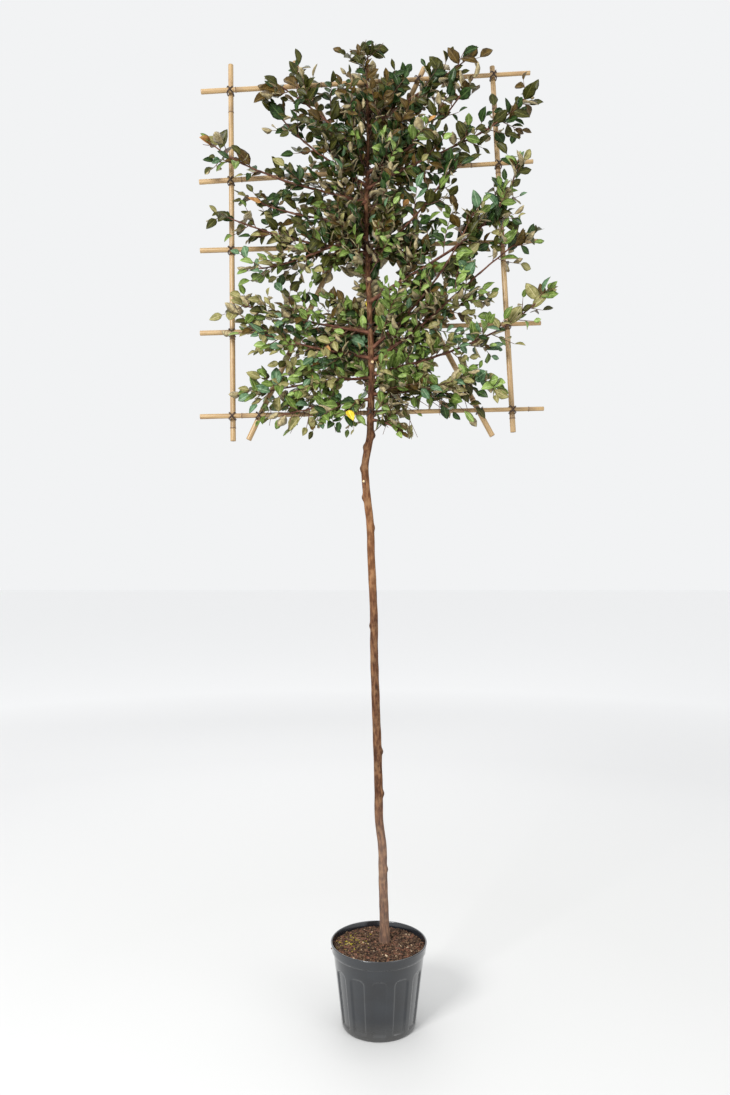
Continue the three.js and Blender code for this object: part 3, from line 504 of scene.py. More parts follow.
def seededRandom(seed):
    # the same run of numbers as the solid model's
    state = seed & 0xFFFFFFFF

    def nextShare():
        nonlocal state
        state = (state + 0x6D2B79F5) & 0xFFFFFFFF
        mixed = ((state ^ (state >> 15)) * (state | 1)) & 0xFFFFFFFF
        mixed ^= (mixed + ((mixed ^ (mixed >> 7)) * (mixed | 61))) & 0xFFFFFFFF
        return ((mixed ^ (mixed >> 14)) & 0xFFFFFFFF) / 4294967296

    return nextShare


def trunkRadius(z):
    soilZ, headZ, head = trunk["soil"], trunk["headHeight"], trunk["headRadius"]
    if z < headZ:
        flare = trunk["flare"] * math.exp(-(z - soilZ) / trunk["flareHeight"])
        return trunk["footRadius"] + (head - trunk["footRadius"]) * ((z - soilZ) / (headZ - soilZ)) + flare
    share = min(1, (z - headZ) / (trunk["bends"][-1][0] - headZ))
    return head + (trunk["tipRadius"] - head) * share


def trunkCentre(z):
    bends = trunk["bends"]
    upper = next((i for i in range(1, len(bends) - 1) if bends[i][0] >= z), len(bends) - 1)
    (lowZ, lowX), (highZ, highX) = bends[upper - 1], bends[upper]
    share = min(1, max(0, (z - lowZ) / (highZ - lowZ)))
    blend = share * share * (3 - 2 * share)
    lean = max(0, 1 - (z - trunk["soil"]) / (trunk["uprightFrom"] - trunk["soil"]))
    rest = trunk["headRadius"] - trunkRadius(z) if z > trunk["headHeight"] else 0
    return np.array([lowX + (highX - lowX) * blend, trunk["footY"] * lean + rest, z])


def armPath(height, tip, slopes, depth):
    # the arm's centre line as even points
    start = trunkCentre(height / 1000)
    end = np.array([tip[0] / 1000, depth / 1000, tip[1] / 1000])
    reach = np.linalg.norm(end - start) * limb["handle"]
    side = np.sign(end[0] - start[0]) or 1
    chord = unit(end - start)
    level = math.sqrt(1 - chord[1] ** 2)
    handles = []
    for degrees in slopes:
        angle = math.radians(degrees)
        handles.append(np.array([side * math.cos(angle) * level, chord[1], math.sin(angle) * level]))
    first, second = start + handles[0] * reach, end - handles[1] * reach
    t = np.linspace(0, 1, limb["curveSteps"])[:, None]
    curve = (1 - t) ** 3 * start + 3 * (1 - t) ** 2 * t * first + 3 * (1 - t) * t ** 2 * second + t ** 3 * end
    steps = lengthsAlong(curve)
    even = np.linspace(0, steps[-1], max(limb["leastPoints"], int(steps[-1] / limb["pointGap"])))
    return np.stack([np.interp(even, steps, curve[:, k]) for k in range(3)], axis=1), steps[-1]


def barkTube(points, radii, sides, seed, rough, knots=(), tangents=None):
    # a limb with ridged bark, swollen knots and the attributes its bark material reads
    tangents = tangentsOf(points) if tangents is None else tangents
    angles, spokes = spokesAlong(tangents, sides)
    ringRadii = np.repeat(np.asarray(radii)[:, None], sides, axis=1)
    grain = np.zeros((len(points), sides, 3))
    for i, (along, radius) in enumerate(zip(lengthsAlong(points), radii)):
        for j, angle in enumerate(angles):
            spot = Vector((math.cos(angle) * radius, math.sin(angle) * radius, along))
            grain[i, j] = spot
            ringRadii[i, j] += radius * rough * sum(strength * noise.noise(Vector((
                spot.x * across, spot.y * across, along * lengthwise + seed * shift)))
                for across, lengthwise, shift, strength in relief.values())
    # the knots' dark scars, partly painted shade
    scarsAndShade = np.zeros_like(ringRadii)
    for centre, width, height in knots:
        skin = points[:, None, :] + ringRadii[:, :, None] * spokes
        away = np.linalg.norm(skin - centre[None, None, :], axis=2) / width
        dimple = knotForm["dimpleShare"] * np.exp(-away ** 2 * knotForm["dimple"])
        ringRadii += height * (np.exp(-away ** 2 * knotForm["bulge"]) - dimple)
        scarsAndShade = np.maximum(scarsAndShade, knotForm["scarShare"] * np.exp(-away ** 2 * knotForm["scar"]))
    verts, faces = sweptTube(points, spokes, ringRadii)
    return verts, faces, {"grain": grain.reshape(-1, 3), "scar": scarsAndShade.ravel()}


def makeTrunk():
    heights = np.concatenate([np.arange(*span) for span in trunk["rings"]])
    radii = np.array([trunkRadius(z) for z in heights])

    def outwards(degrees, rise):
        angle = math.radians(degrees)
        return np.array([math.sin(angle), -math.cos(angle), rise])

    knots = [(trunkCentre(z) + outwards(degrees, 0.0) * trunkRadius(z), width, height)
             for z, degrees, width, height in trunk["knots"]]
    points = np.array([trunkCentre(z) for z in heights])
    parts, cutParts = [barkTube(points, radii, trunk["sides"], *trunk["stemBark"], knots)], []
    for z, degrees, faceRadius in trunk["cuts"]:
        out = unit(outwards(degrees, trunk["cutRise"]))
        foot = trunkCentre(z) + out * (trunkRadius(z) - trunk["sunk"])
        for kept, name in ((parts, "collar"), (cutParts, "face")):
            outline, bark = trunk[name], trunk[name + "Bark"]
            line = np.array([foot + out * distance for distance, _ in outline])
            spur = np.array([share for _, share in outline]) * faceRadius
            straight = np.repeat(out[None, :], len(outline), axis=0)
            kept.append(barkTube(line, spur, trunk["cutSides"], *bark, tangents=straight))
    verts, faces, values = joinParts(parts + cutParts)
    cutFaces = sum(len(part[1]) for part in cutParts)
    slots = [0] * (len(faces) - cutFaces) + [1] * cutFaces
    piece = meshObject("trunkWood", verts, faces, [trunkBark, cutWood], slots, values=values)
    settle(piece, "trunk_bark", "trunk")


armData = []
for name, height, tip, slopes, depth, bare, twig in arms:
    path, length = armPath(height, tip, slopes, depth)
    armData.append({"name": name, "path": path, "length": length, "bare": bare, "twig": twig / 1000})
leaderFoot = trunkCentre(trunk["bends"][-1][0])
leaderTop = np.array([leaderFoot[0], leaderFoot[1], limb["leaderTop"]])
leaderPath = leaderFoot + (leaderTop - leaderFoot) * np.linspace(0, 1, limb["leaderPoints"])[:, None]
armData.append({"name": "leader", "path": leaderPath, "length": limb["leaderTop"] - leaderFoot[2], "bare": 0,
                "twig": limb["leaderTwig"]})


def limbRadii(data):
    # one taper from collar to tip, thicker over the bare share
    share = np.linspace(0, 1, len(data["path"]))
    if data["name"] == "leader":
        return np.linspace(*limb["leaderRadii"], len(share))
    bare, end = data["bare"] or limb["leastBare"], limb["endRadius"]
    radii = np.where(share < bare, limb["radius"] + (end - limb["radius"]) * share / bare,
                     end + (limb["tipRadius"] - end) * (share - bare) / (1 - bare))
    thin = limb["backThinner"] if data["name"].startswith("back") else 1
    return radii * thin + limb["collar"] * np.exp(-share * data["length"] / limb["collarLength"])


def makeBoughs():
    parts = []
    alongNoise, axisNoise, armNoise = limb["kinkNoise"]
    for index, data in enumerate(armData):
        wander = np.zeros_like(data["path"])
        along = np.linspace(0, data["length"], len(wander))
        for k in range(3):
            wander[:, k] = [limb["kink"] * noise.noise(Vector((
                s * alongNoise, k * axisNoise, index * armNoise))) for s in along]
        data["path"] = data["path"] + wander * np.minimum(1, along / limb["kinkFrom"])[:, None]
        random = seededRandom(limb["knotSeed"] + index)
        knots = []
        for _ in range(int(data["length"] / limb["knotStretch"])):
            spot = data["path"][int(random() * (len(along) - 1))]
            aside = unit(np.array([random() - 0.5 for _ in range(3)]))
            knots.append((spot + aside * limb["knotOff"], *limb["knotSize"]))
        parts.append(barkTube(data["path"], limbRadii(data), limb["sides"], index * limb["barkShift"],
                              limb["rough"], knots))
    verts, faces, values = joinParts(parts)
    nodes = [node for node in (f"bough_{data['name']}" for data in armData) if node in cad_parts]
    settle(meshObject("boughs", verts, faces, [youngBark], values=values), "bough_bark", *nodes)


makeTrunk()
makeBoughs()
print("trunk and boughs ready")


lattice = {
    "gap": 0.0003, "rungRadii": (0.0086, 0.0072), "uprightRadii": (0.0094, 0.0086),
    # ends of each cane: x and z
    "rungs": {"rung_1_top": ((-0.596, 3.113), (0.508, 3.177)), "rung_2": ((-0.602, 2.810), (0.518, 2.880)),
              "rung_3": ((-0.599, 2.580), (0.534, 2.613)), "rung_4": ((-0.599, 2.303), (0.544, 2.337)),
              "rung_5_bottom": ((-0.599, 2.023), (0.554, 2.050))},
    "uprights": {"upright_left": ((-0.491, 1.943), (-0.499, 3.213)),
                 "upright_right": ((0.454, 1.973), (0.383, 3.207)),
                 "diagonal_rising_right": ((-0.439, 1.947), (0.154, 3.203)),
                 "diagonal_rising_left": ((0.384, 1.960), (-0.286, 3.223))},
    # how far the middle of a cane bows to the back
    "bows": {"diagonal_rising_left": 0.0196},
}
cane = {
    "sides": 20, "step": 0.012, "firstSeed": 40, "bore": 0.45, "boreDepth": 0.014, "edge": 0.0008,
    "edgeShare": 0.94, "firstRing": 0.004, "endRoom": 0.001,
    # where the first node stands (least and spread), how far apart they are, room for the last one
    "firstNode": (0.04, 0.12), "nodeSpacing": (0.19, 0.31), "lastNode": 0.03,
    # at a node: the ridge's height and width; the groove's depth, distance before the node and width; the
    # dark scar's strength and width; the smudge's strength, distance after the node and width
    "ridge": (0.0011, 0.0022), "groove": (0.0005, 0.0042, 0.0014), "scar": (0.9, 0.0016),
    "smudge": (0.35, 0.01, 0.012),
    # extra rings round each node
    "nodeRings": (-0.007, -0.0045, -0.003, -0.0015, 0, 0.0015, 0.003, 0.0045, 0.007),
}
# name: ends, side of the lattice's middle plane, radii, bow
canes = {name: (ends, -1, lattice["rungRadii"], 0) for name, ends in lattice["rungs"].items()}
canes.update({name: (ends, 1, lattice["uprightRadii"], lattice["bows"].get(name, 0))
              for name, ends in lattice["uprights"].items()})


def caneAxis(ends, side, radii, bow):
    plane = trunk["headRadius"] + lattice["gap"] + lattice["rungRadii"][0] + lattice["rungRadii"][1]
    if side > 0:
        plane += lattice["gap"]
    (fromX, fromZ), (toX, toZ) = ends
    start = np.array([fromX, plane + side * radii[0], fromZ])
    end = np.array([toX, plane + side * radii[1], toZ])
    return start, (start + end) / 2 + np.array([0, bow * 2, 0]), end


def bell(away, width):
    return math.exp(-(away / width) ** 2)


def canePart(name, seed):
    random = seededRandom(seed)
    radii = canes[name][2]
    start, middle, end = caneAxis(*canes[name])
    length = np.linalg.norm(end - start)
    nodes, at = [], vary(random, *cane["firstNode"])
    nearest, furthest = cane["nodeSpacing"]
    while at < length - cane["lastNode"]:
        nodes.append(at)
        at += nearest + random() * (furthest - nearest)
    stations = list(np.arange(cane["firstRing"], length - cane["firstRing"], cane["step"]))
    stations += [node + ring for node in nodes for ring in cane["nodeRings"]]

    (ridge, ridgeWide), (groove, grooveBefore, grooveWide) = cane["ridge"], cane["groove"]
    (scarShare, scarWide), (smudgeShare, smudgeAfter, smudgeWide) = cane["scar"], cane["smudge"]

    def outerRadius(s):
        radius = radii[0] + (radii[1] - radii[0]) * s / length
        for node in nodes:
            radius += ridge * bell(s - node, ridgeWide)
            radius -= groove * bell(s - node + grooveBefore, grooveWide)
        return radius

    # distance along, radius, how dark; the darkness that deepens into the hollow end is painted shade
    depth, bore, edge, edgeShare = cane["boreDepth"], cane["bore"], cane["edge"], cane["edgeShare"]
    profile = [(depth, bore * radii[0], 1.0), (0.0, bore * radii[0], 0.7), (0.0, radii[0] * edgeShare, 0.25),
               (edge, outerRadius(edge), 0.1)]
    for s in sorted(s for s in stations if cane["endRoom"] < s < length - cane["endRoom"]):
        scar = max([bell(s - node, scarWide) for node in nodes] + [0])
        smudge = max([smudgeShare * bell(s - node - smudgeAfter, smudgeWide) for node in nodes] + [0])
        profile.append((s, outerRadius(s), min(1, scarShare * scar + smudge)))
    # the far end's cut face and hollow, darker inside: painted shade
    profile += [(length - edge, outerRadius(length - edge), 0.1), (length, radii[1] * edgeShare, 0.25),
                (length, bore * radii[1], 0.7), (length - depth, bore * radii[1], 1.0)]
    shares = np.array([s / length for s, _, _ in profile])[:, None]
    tangents = 2 * (1 - shares) * (middle - start) + 2 * shares * (end - middle)
    angles, spokes = spokesAlong(tangents / np.linalg.norm(tangents, axis=1)[:, None], cane["sides"])
    ringRadii = np.repeat(np.array([r for _, r, _ in profile])[:, None], cane["sides"], axis=1)
    verts, faces = sweptTube(bent(start, middle, end, shares), spokes, ringRadii)
    grain = [(math.cos(a) * r, math.sin(a) * r, s + seed) for s, r, _ in profile for a in angles]
    return verts, faces, {"grain": np.array(grain), "scar": [dark for _, _, dark in profile for _ in angles]}


def makeLattice():
    for seed, name in enumerate(canes, cane["firstSeed"]):
        verts, faces, values = canePart(name, seed)
        piece = meshObject("bamboo_" + name, verts, faces, [bamboo], values=values)
        for polygon in list(piece.data.polygons)[-2:]:
            polygon.use_smooth = False
        settle(piece, "bamboo", name)


def sweepTree(name, sides, material):
    # a round section carried along every path, as thick as the path's own attribute says
    tree, given = nodeTree(name, [("Thickness", "Float", 1.0), ("Sides", "Int", sides)])
    curve = addNode(tree, "MeshToCurve", {"Mesh": given["Geometry"]})
    thick = addNode(tree, "InputNamedAttribute", {"data_type": "FLOAT", "Name": "thickness"})
    section = addNode(tree, "CurvePrimitiveCircle", {
        "Resolution": given["Sides"], "Radius": given["Thickness"]})
    swept = addNode(tree, "CurveToMesh", {
        "Curve": curve, "Profile Curve": section, "Scale": thick, "Fill Caps": True})
    return endTree(tree, addNode(tree, "SetShadeSmooth", {"Geometry": swept}), [{"Material": material}])


def pathCarrier(paths):
    # paths as bare edges with a thickness at each point
    verts, edges, thickness = [], [], []
    for points, radii in paths:
        edges += [(len(verts) + i, len(verts) + i + 1) for i in range(len(points) - 1)]
        verts += [tuple(p) for p in points]
        thickness += list(radii)
    mesh = bpy.data.meshes.new("paths")
    mesh.from_pydata(verts, edges, [])
    setValues(mesh, "thickness", "FLOAT", "POINT", thickness)
    return newObject("paths", mesh)


tie = {
    "wire": 0.0012, "turns": 2, "stepsPerTurn": 22, "pitch": 0.0027, "slack": 0.0012, "clear": 0.0003,
    "square": 0.55, "overlap": 0.0012, "sides": 7, "firstSeed": 301,
    "tail": 0.016, "tailSteps": 14, "tailTwist": 5 * np.pi, "tailSpread": 0.95, "tailWire": 0.9,
}


def tiePaths(front, back, seed):
    # two turns on each slant round a front and a back pole, and a twisted end in front
    (frontCentre, frontRadius), (backCentre, backRadius) = front, back
    random, wire = seededRandom(seed), tie["wire"]
    nearest = frontCentre[1] - frontRadius - wire - tie["clear"]
    furthest = backCentre[1] + backRadius + wire + tie["clear"]
    middle, half = (nearest + furthest) / 2, (furthest - nearest) / 2
    reach = math.sqrt(2) * max(frontRadius, backRadius) + wire + tie["slack"]
    centre = np.array([frontCentre[0], middle, frontCentre[2]])

    def squared(wave, size):
        return math.copysign(abs(wave) ** tie["square"], wave) * size

    paths = []
    for slant, lift in ((1, 0), (-1, tie["overlap"])):
        across, aside = unit(np.array([1.0, 0, slant])), unit(np.array([-slant * 1.0, 0, 1.0]))
        points, steps = [], tie["stepsPerTurn"] * tie["turns"]
        for i in range(steps + 1):
            angle = i / steps * fullTurn * tie["turns"] + np.pi / 2 * slant
            deep = squared(math.sin(angle), half) * (1 + lift / half)
            drift = (i / steps - 0.5) * tie["pitch"] * tie["turns"]
            wide = squared(math.cos(angle), reach)
            points.append(centre + across * wide + np.array([0, deep, 0]) + aside * drift)
        paths.append((points, [wire] * len(points)))
    lean = unit(np.array([random() - 0.5, -0.9, random() - 0.7]))
    sideways = unit(np.cross(lean, up))
    raised = np.cross(sideways, lean)
    foot = np.array([frontCentre[0], nearest, frontCentre[2]])
    for strand in (0, 1):
        points = []
        for share in np.arange(tie["tailSteps"] + 1) / tie["tailSteps"]:
            angle = share * tie["tailTwist"] + strand * np.pi
            twist = (sideways * math.cos(angle) + raised * math.sin(angle)) * wire * tie["tailSpread"]
            points.append(foot + lean * (share * tie["tail"]) + twist)
        paths.append((points, [wire * tie["tailWire"]] * len(points)))
    return paths


def crossing(one, two):
    # how far along each of two canes they cross
    (fromX, fromZ), (toX, toZ) = one
    (otherX, otherZ), (endX, endZ) = two
    slopeX, slopeZ, otherSlopeX, otherSlopeZ = toX - fromX, toZ - fromZ, endX - otherX, endZ - otherZ
    share = ((otherX - fromX) * otherSlopeZ - (otherZ - fromZ) * otherSlopeX) \
        / (slopeX * otherSlopeZ - slopeZ * otherSlopeX)
    return share, (fromZ + share * slopeZ - otherZ) / otherSlopeZ


def poleAt(name, share):
    radii = canes[name][2]
    return bent(*caneAxis(*canes[name]), share), radii[0] + (radii[1] - radii[0]) * share


def heightAt(ends, x):
    (fromX, fromZ), (toX, toZ) = ends
    return fromZ + (toZ - fromZ) * (x - fromX) / (toX - fromX)


tieCentres = []


def makeTies():
    wireTree = sweepTree("tieWireAlongPath", tie["sides"], tyingWire)
    ties = []
    for number, (rungName, rung) in enumerate(lattice["rungs"].items(), 1):
        for upName, upright in lattice["uprights"].items():
            sideName = upName.removeprefix("upright_")
            if sideName == upName and rungName not in ("rung_1_top", "rung_5_bottom"):
                continue
            rungShare, upShare = crossing(rung, upright)
            node = [] if sideName == upName else [f"tie_{sideName}_{number}"]
            ties.append((f"{upName}_{number}", poleAt(rungName, rungShare), poleAt(upName, upShare), node))
        centre = trunkCentre(heightAt(rung, 0))
        centre[2] = heightAt(rung, centre[0])
        share = (centre[0] - rung[0][0]) / (rung[1][0] - rung[0][0])
        node = ["tie_trunk"] if rungName == "rung_5_bottom" else []
        ties.append((f"trunk_{number}", (centre, trunkRadius(centre[2])), poleAt(rungName, share), node))
    for seed, (name, front, back, node) in enumerate(ties, tie["firstSeed"]):
        tieCentres.append((front[0] + back[0]) / 2)
        carrier = pathCarrier(tiePaths(front, back, seed))
        piece = applyTree(carrier, wireTree, {"Thickness": 1.0, "Sides": tie["sides"]}, "tieWire_" + name)
        settle(piece, "tie_wire", *node)


makeLattice()
makeTies()
print("lattice and ties ready")


crown = {
    "low": np.array([-0.580, -0.180, 1.938]), "high": np.array([0.592, 0.195, 3.284]),
    # the crown is highest over the leader: how far it drops beside it, where and how wide the peak is, and
    # how it slopes down to the front
    "shoulder": (0.030, -0.022, 0.060), "frontSlope": 0.5,
    # openings where the background shows and places where the crown is thin: x, z, half width, half height
    "openings": np.array([
        (-0.118, 2.477, 0.050, 0.048), (0.030, 2.506, 0.024, 0.026), (0.046, 2.478, 0.022, 0.024),
        (-0.090, 2.118, 0.038, 0.048), (-0.372, 2.428, 0.055, 0.022), (0.352, 2.500, 0.046, 0.048),
        (0.310, 2.785, 0.060, 0.052), (0.345, 3.052, 0.036, 0.036),
        (0.240, 3.290, 0.180, 0.066), (-0.365, 2.790, 0.045, 0.028), (0.205, 2.465, 0.035, 0.028),
        (-0.380, 2.570, 0.052, 0.030), (0.215, 2.160, 0.040, 0.034), (0.225, 2.555, 0.030, 0.030),
        (-0.400, 2.870, 0.040, 0.022), (-0.560, 2.968, 0.070, 0.032)]),
    # room round ties and canes
    "tieRoom": 0.019, "caneRoom": 0.0006,
    # straight stretches that stand for each cane and for the stem: number, or lowest, highest, length
    "caneStretches": 8, "stemStretches": (1.90, 3.18, 0.04),
    # the trunk shows up to a height, and so does the inner share of each bough: half widths of the strips
    "trunkShowsTo": 3.04, "trunkHalf": 0.014, "trunkFront": 0.006, "boughHalf": 0.008, "boughShare": 0.55,
    # the lowest rung shows too: up to this far above it, and this far to each side of its middle
    "railBand": 0.020, "railMiddle": 0.03, "railHalf": 0.42,
}
twigRule = {
    "step": 0.0138, "angle": 56, "angleSpread": 26, "rollSpread": 60, "nextRoll": 50, "tries": 8,
    "shorterFrom": 4, "shorter": 0.6,
    "reachShare": (0.85, 0.3),  # least and spread
    "flat": 0.6, "forwards": 0.22, "upwards": 0.1, "sway": 0.3, "room": 0.003, "points": 7,
    "radius": 0.0018, "tipRadius": 0.0008, "sideRadius": 0.7, "firstSeed": 101,
    # along an arm twigs stand closer near the trunk and grow shorter and sparser to the tip
    "shortening": 0.55, "extraReach": 0.040, "towardsTrunk": 1.22, "tipStep": 2.3, "tipReach": 0.3,
    "armReachShare": (0.5, 0.6), "leafSize": (0.88, 0.24), "sideLeafSize": 0.88, "endLeafSize": 0.95,
    "sideLeafStart": 0.3,
    "tipSparser": 0.8, "bareStart": 0.35, "leastStart": 0.03, "backStep": 0.55,
}
# side twigs: where on the twig, from what reach, how often, their reach, and where the twig's own leaves
# start
armForks = {"at": (2, 4), "from": 0.07, "chance": 0.7, "reach": 0.42, "start": 0.16}
trunkForks = {"at": (2, 3, 4), "from": 0.1, "chance": None, "reach": 0.45, "start": 0.22}
trunkTwigs = {  # twigs straight from the trunk: lowest, highest and distance apart, shortest and longest
    "span": (1.965, 3.185, 0.0125), "reach": (0.06, 0.17), "thicker": 1.1, "size": 0.9, "sideSize": 0.82,
    # above and below these heights this share is missing
    "topThins": (3.04, 0.55), "topShorter": 0.8, "footThins": (2.47, 0.3),
}
leafRule = {
    "step": 0.0112, "length": 0.056, "angle": 54, "spread": 0.0112, "tries": 7, "room": 0.0022,
    "rollSpread": 60, "nextRoll": 40, "half": 0.22, "middle": 0.55, "smaller": 0.32, "endAngle": 0.35,
    # least and spread: share of the angle, of the length, how far a leaf looks outwards, how soft the edge
    # of an opening is; then how far a leaf looks aside and up
    "angleShare": (0.7, 0.6), "lengthShare": (0.64, 0.68), "outwards": (0.4, 0.8), "softEdge": (0.3, 0.8),
    "aside": 1.3, "upwards": 0.68,
    # this share of the leaves stays away from the front of the trunk, the boughs and the lowest rung
    "trunkShows": 0.95, "boughShows": 0.8, "railShows": 0.62, "railSeed": 3,
    # behind this depth leaves face the back; above this height they look up less
    "backFrom": 0.03, "lessLiftFrom": 2.85, "lift": (0.1, -0.15),
    # share of leaves turned over, showing the silvery back, above a height and below it
    "turnedOver": (2.6, 0.04, 0.07),
}
tintRule = {
    "seed": 7, "ownTint": 0.3,
    # far from the trunk, below a height, this share of the leaves is paler: painted light on the outer
    # leaves, which stand in full light
    "outer": (0.3, 2.95, 0.38), "outerTints": (3, 5, 8, 8),
    # between these depths leaves lie in the crown's shade and get dark colours more often the higher they
    # are: painted shade
    "shade": (-0.05, 0.09), "darkMost": 0.75, "darkFrom": 2.2, "darkRange": 0.5,
    "shadeTints": (0, 2, 0, 2, 1),
    "yellow": (0.0016, 6), "dry": (0.0045, 7),
}
# arms that differ: how many times as many twigs, how many times as long, how far they hang
armHabit = {
    "left_1": (0.9, 1.1, 0.0), "left_2": (0.8, 0.85, 0.0), "left_4": (0.65, 0.85, 0.0),
    "left_5": (0.9, 0.9, 0.0), "left_6": (1.2, 1.2, 0.0), "left_7": (1.35, 1.15, 0.0),
    "left_8": (1.2, 1.0, 0.1), "left_9": (1.4, 1.2, 0.3), "left_10": (1.3, 1.1, 0.5),
    "right_1": (0.95, 0.9, 0.0), "right_2": (0.8, 0.9, 0.0), "right_3": (1.0, 0.95, 0.0),
    "right_4": (0.9, 0.9, 0.0), "right_5": (1.15, 1.05, 0.0), "right_6": (0.85, 1.0, 0.0),
    "right_7": (1.35, 1.15, 0.0), "right_8": (0.9, 0.85, 0.2), "right_9": (1.7, 1.05, 0.3),
    "right_10": (1.2, 1.2, 0.5),
}
# how often each upper side colour comes up in a spray, by height in the crown:
# olive, bronze, deep green, green, fresh, blue sheen, yellow, dry, pale olive
tintZones = [
    (2.95, [0.53, 0.17, 0.28, 0.02, 0.00, 0.00, 0, 0, 0.00]),
    (2.55, [0.31, 0.09, 0.29, 0.24, 0.04, 0.02, 0, 0, 0.01]),
    (0.00, [0.09, 0.04, 0.08, 0.37, 0.14, 0.08, 0, 0, 0.20]),
]
leafForms = {  # width, fold, curl, wave, twist
    "leafShapeA": (0.58, 0.16, 0.14, 0.016, 0.15), "leafShapeB": (0.54, 0.28, 0.22, 0.018, -0.35),
    "leafShapeC": (0.66, 0.10, -0.08, 0.020, 0.40), "leafShapeD": (0.52, 0.34, 0.08, 0.012, -0.15),
}
leafEdge = {
    # how far along, share of the width; then the places across the upper side
    "outline": [(0.07, 0.26), (0.22, 0.76), (0.44, 1.0), (0.68, 0.84), (0.88, 0.41)],
    "spans": (-1, -0.52, 0, 0.52, 1), "upperLift": 0.008, "underLift": -0.016,
    # uneven width: how much, how often, shift of each side, shift by the width; ripples: how often, shift
    "uneven": (0.13, 31, 2.0, 40), "ripple": (17, 1.3),
}


def leafShape(name, width, fold, curl, wave, twist):
    # one leaf of unit length along +X, upper side to +Z, with a short stalk and a wavy edge
    much, often, sideShift, widthShift = leafEdge["uneven"]
    ripples, rippleShift = leafEdge["ripple"]
    verts, uvs = [], []

    def place(t, share, span, lift):
        uneven = 1 + much * math.sin(t * often + math.copysign(sideShift, span) + width * widthShift)
        aside = span * share * width / 2 * uneven
        ripple = wave * math.sin(t * ripples + math.copysign(rippleShift, span)) * abs(span)
        z = fold * abs(aside) * 2 - curl * t * t + ripple + lift * (1 - span * span)
        verts.append((t, aside * math.cos(twist * t), z + aside * math.sin(twist * t)))
        uvs.append((0.5 + span / 2, t))

    place(0, 0, 0, 0)
    tops, unders = [], []
    for t, share in leafEdge["outline"]:
        first = len(verts)
        for span in leafEdge["spans"]:
            place(t, share, span, leafEdge["upperLift"])
        place(t, share, 0, leafEdge["underLift"])
        tops.append(range(first, first + 5))
        unders.append((first, first + 5, first + 4))
    tip = len(verts)
    place(1, 0, 0, 0)
    faces, slots = [], []
    for side, rows in enumerate((tops, unders)):
        for i in range(len(rows[0]) - 1):
            faces += [(0, rows[0][i + 1], rows[0][i]), (tip, rows[-1][i], rows[-1][i + 1])]
            faces += [(near[i], near[i + 1], far[i + 1], far[i]) for near, far in zip(rows[:-1], rows[1:])]
        slots += [side] * (len(faces) - len(slots))
    piece = meshObject(name, verts, faces, [upperMaterials[0], leafBack], slots, uvs=uvs)
    setValues(piece.data, "back", "BOOLEAN", "FACE", [bool(side) for side in slots])
    # faces are turned outwards as one closed shell
    shell = bmesh.new()
    shell.from_mesh(piece.data)
    bmesh.ops.recalc_face_normals(shell, faces=shell.faces)
    shell.to_mesh(piece.data)
    shell.free()
    return piece


# the stem and canes that twigs and leaves keep clear of, and the boughs' inner parts, as straight stretches
stemFrom, stemTo, stemStep = crown["stemStretches"]
solids = [(trunkCentre(low), trunkCentre(min(high, trunk["bends"][-1][0])), trunkRadius(low))
          for low, high in zip(np.arange(stemFrom, stemTo, stemStep),
                               np.arange(stemFrom + stemStep, stemTo + stemStep, stemStep))]
for name, (_, _, radii, _) in canes.items():
    marks = [poleAt(name, i / crown["caneStretches"])[0] for i in range(crown["caneStretches"] + 1)]
    solids += [(here, there, radii[0] + crown["caneRoom"]) for here, there in zip(marks[:-1], marks[1:])]
solidStarts, solidEnds, solidRadii = (np.array(column) for column in zip(*solids))
tieCentres = np.array(tieCentres)
boughChains = [data["path"][:int(len(data["path"]) * crown["boughShare"]):4] for data in armData
               if data["bare"]]
boughStarts, boughEnds = (np.concatenate([chain[part] for chain in boughChains])
                          for part in (slice(-1), slice(1, None)))


def distances(points, starts, ends):
    # from each point to each straight stretch
    along = ends - starts
    offset = points[:, None, :] - starts[None, :, :]
    share = np.clip((offset * along).sum(2) / (along * along).sum(1), 0, 1)
    return np.linalg.norm(offset - share[:, :, None] * along[None, :, :], axis=2)


def isFree(points, clearance, edge=1.0):
    # inside the crown, out of the openings, clear of stem, canes and ties
    if (points < crown["low"]).any() or (points > crown["high"]).any():
        return False
    drop, peakX, peakHalf = crown["shoulder"]
    top = crown["high"][2] - drop * np.minimum(1, ((points[:, 0] - peakX) / peakHalf) ** 2)
    if (points[:, 2] - crown["frontSlope"] * np.minimum(points[:, 1], 0) > top).any():
        return False
    openings = crown["openings"]
    if (((points[:, None, ::2] - openings[:, :2]) / openings[:, 2:]) ** 2).sum(2).min() < edge:
        return False
    if (np.linalg.norm(points[:, None, :] - tieCentres[None], axis=2) < crown["tieRoom"]).any():
        return False
    return bool((distances(points, solidStarts, solidEnds) - solidRadii > clearance).all())


def branchDirection(axis, roll, angle):
    level = np.cross(axis, up)
    if np.linalg.norm(level) < 0.2:
        level = np.cross(axis, [0.0, -1.0, 0.0])
    level = unit(level)
    return unit(axis * math.cos(angle) + level * math.sin(angle) * math.cos(roll)
                + np.cross(level, axis) * math.sin(angle) * math.sin(roll))


def beforeTrunk(points):
    # in the strip in front of the trunk, where it should show
    stemX = trunkCentre(points[-1][2])[0]
    hides = (points[:, 1] < crown["trunkFront"]) & (abs(points[:, 0] - stemX) < crown["trunkHalf"])
    return bool(hides.any() and points[-1][2] < crown["trunkShowsTo"])


def beforeBough(points):
    # in front of a bough's inner part
    level = np.array([1.0, 0.0, 1.0])
    near = distances(points * level, boughStarts * level, boughEnds * level) < crown["boughHalf"]
    return bool((near & (points[:, None, 1] < boughStarts[None, :, 1])).any())


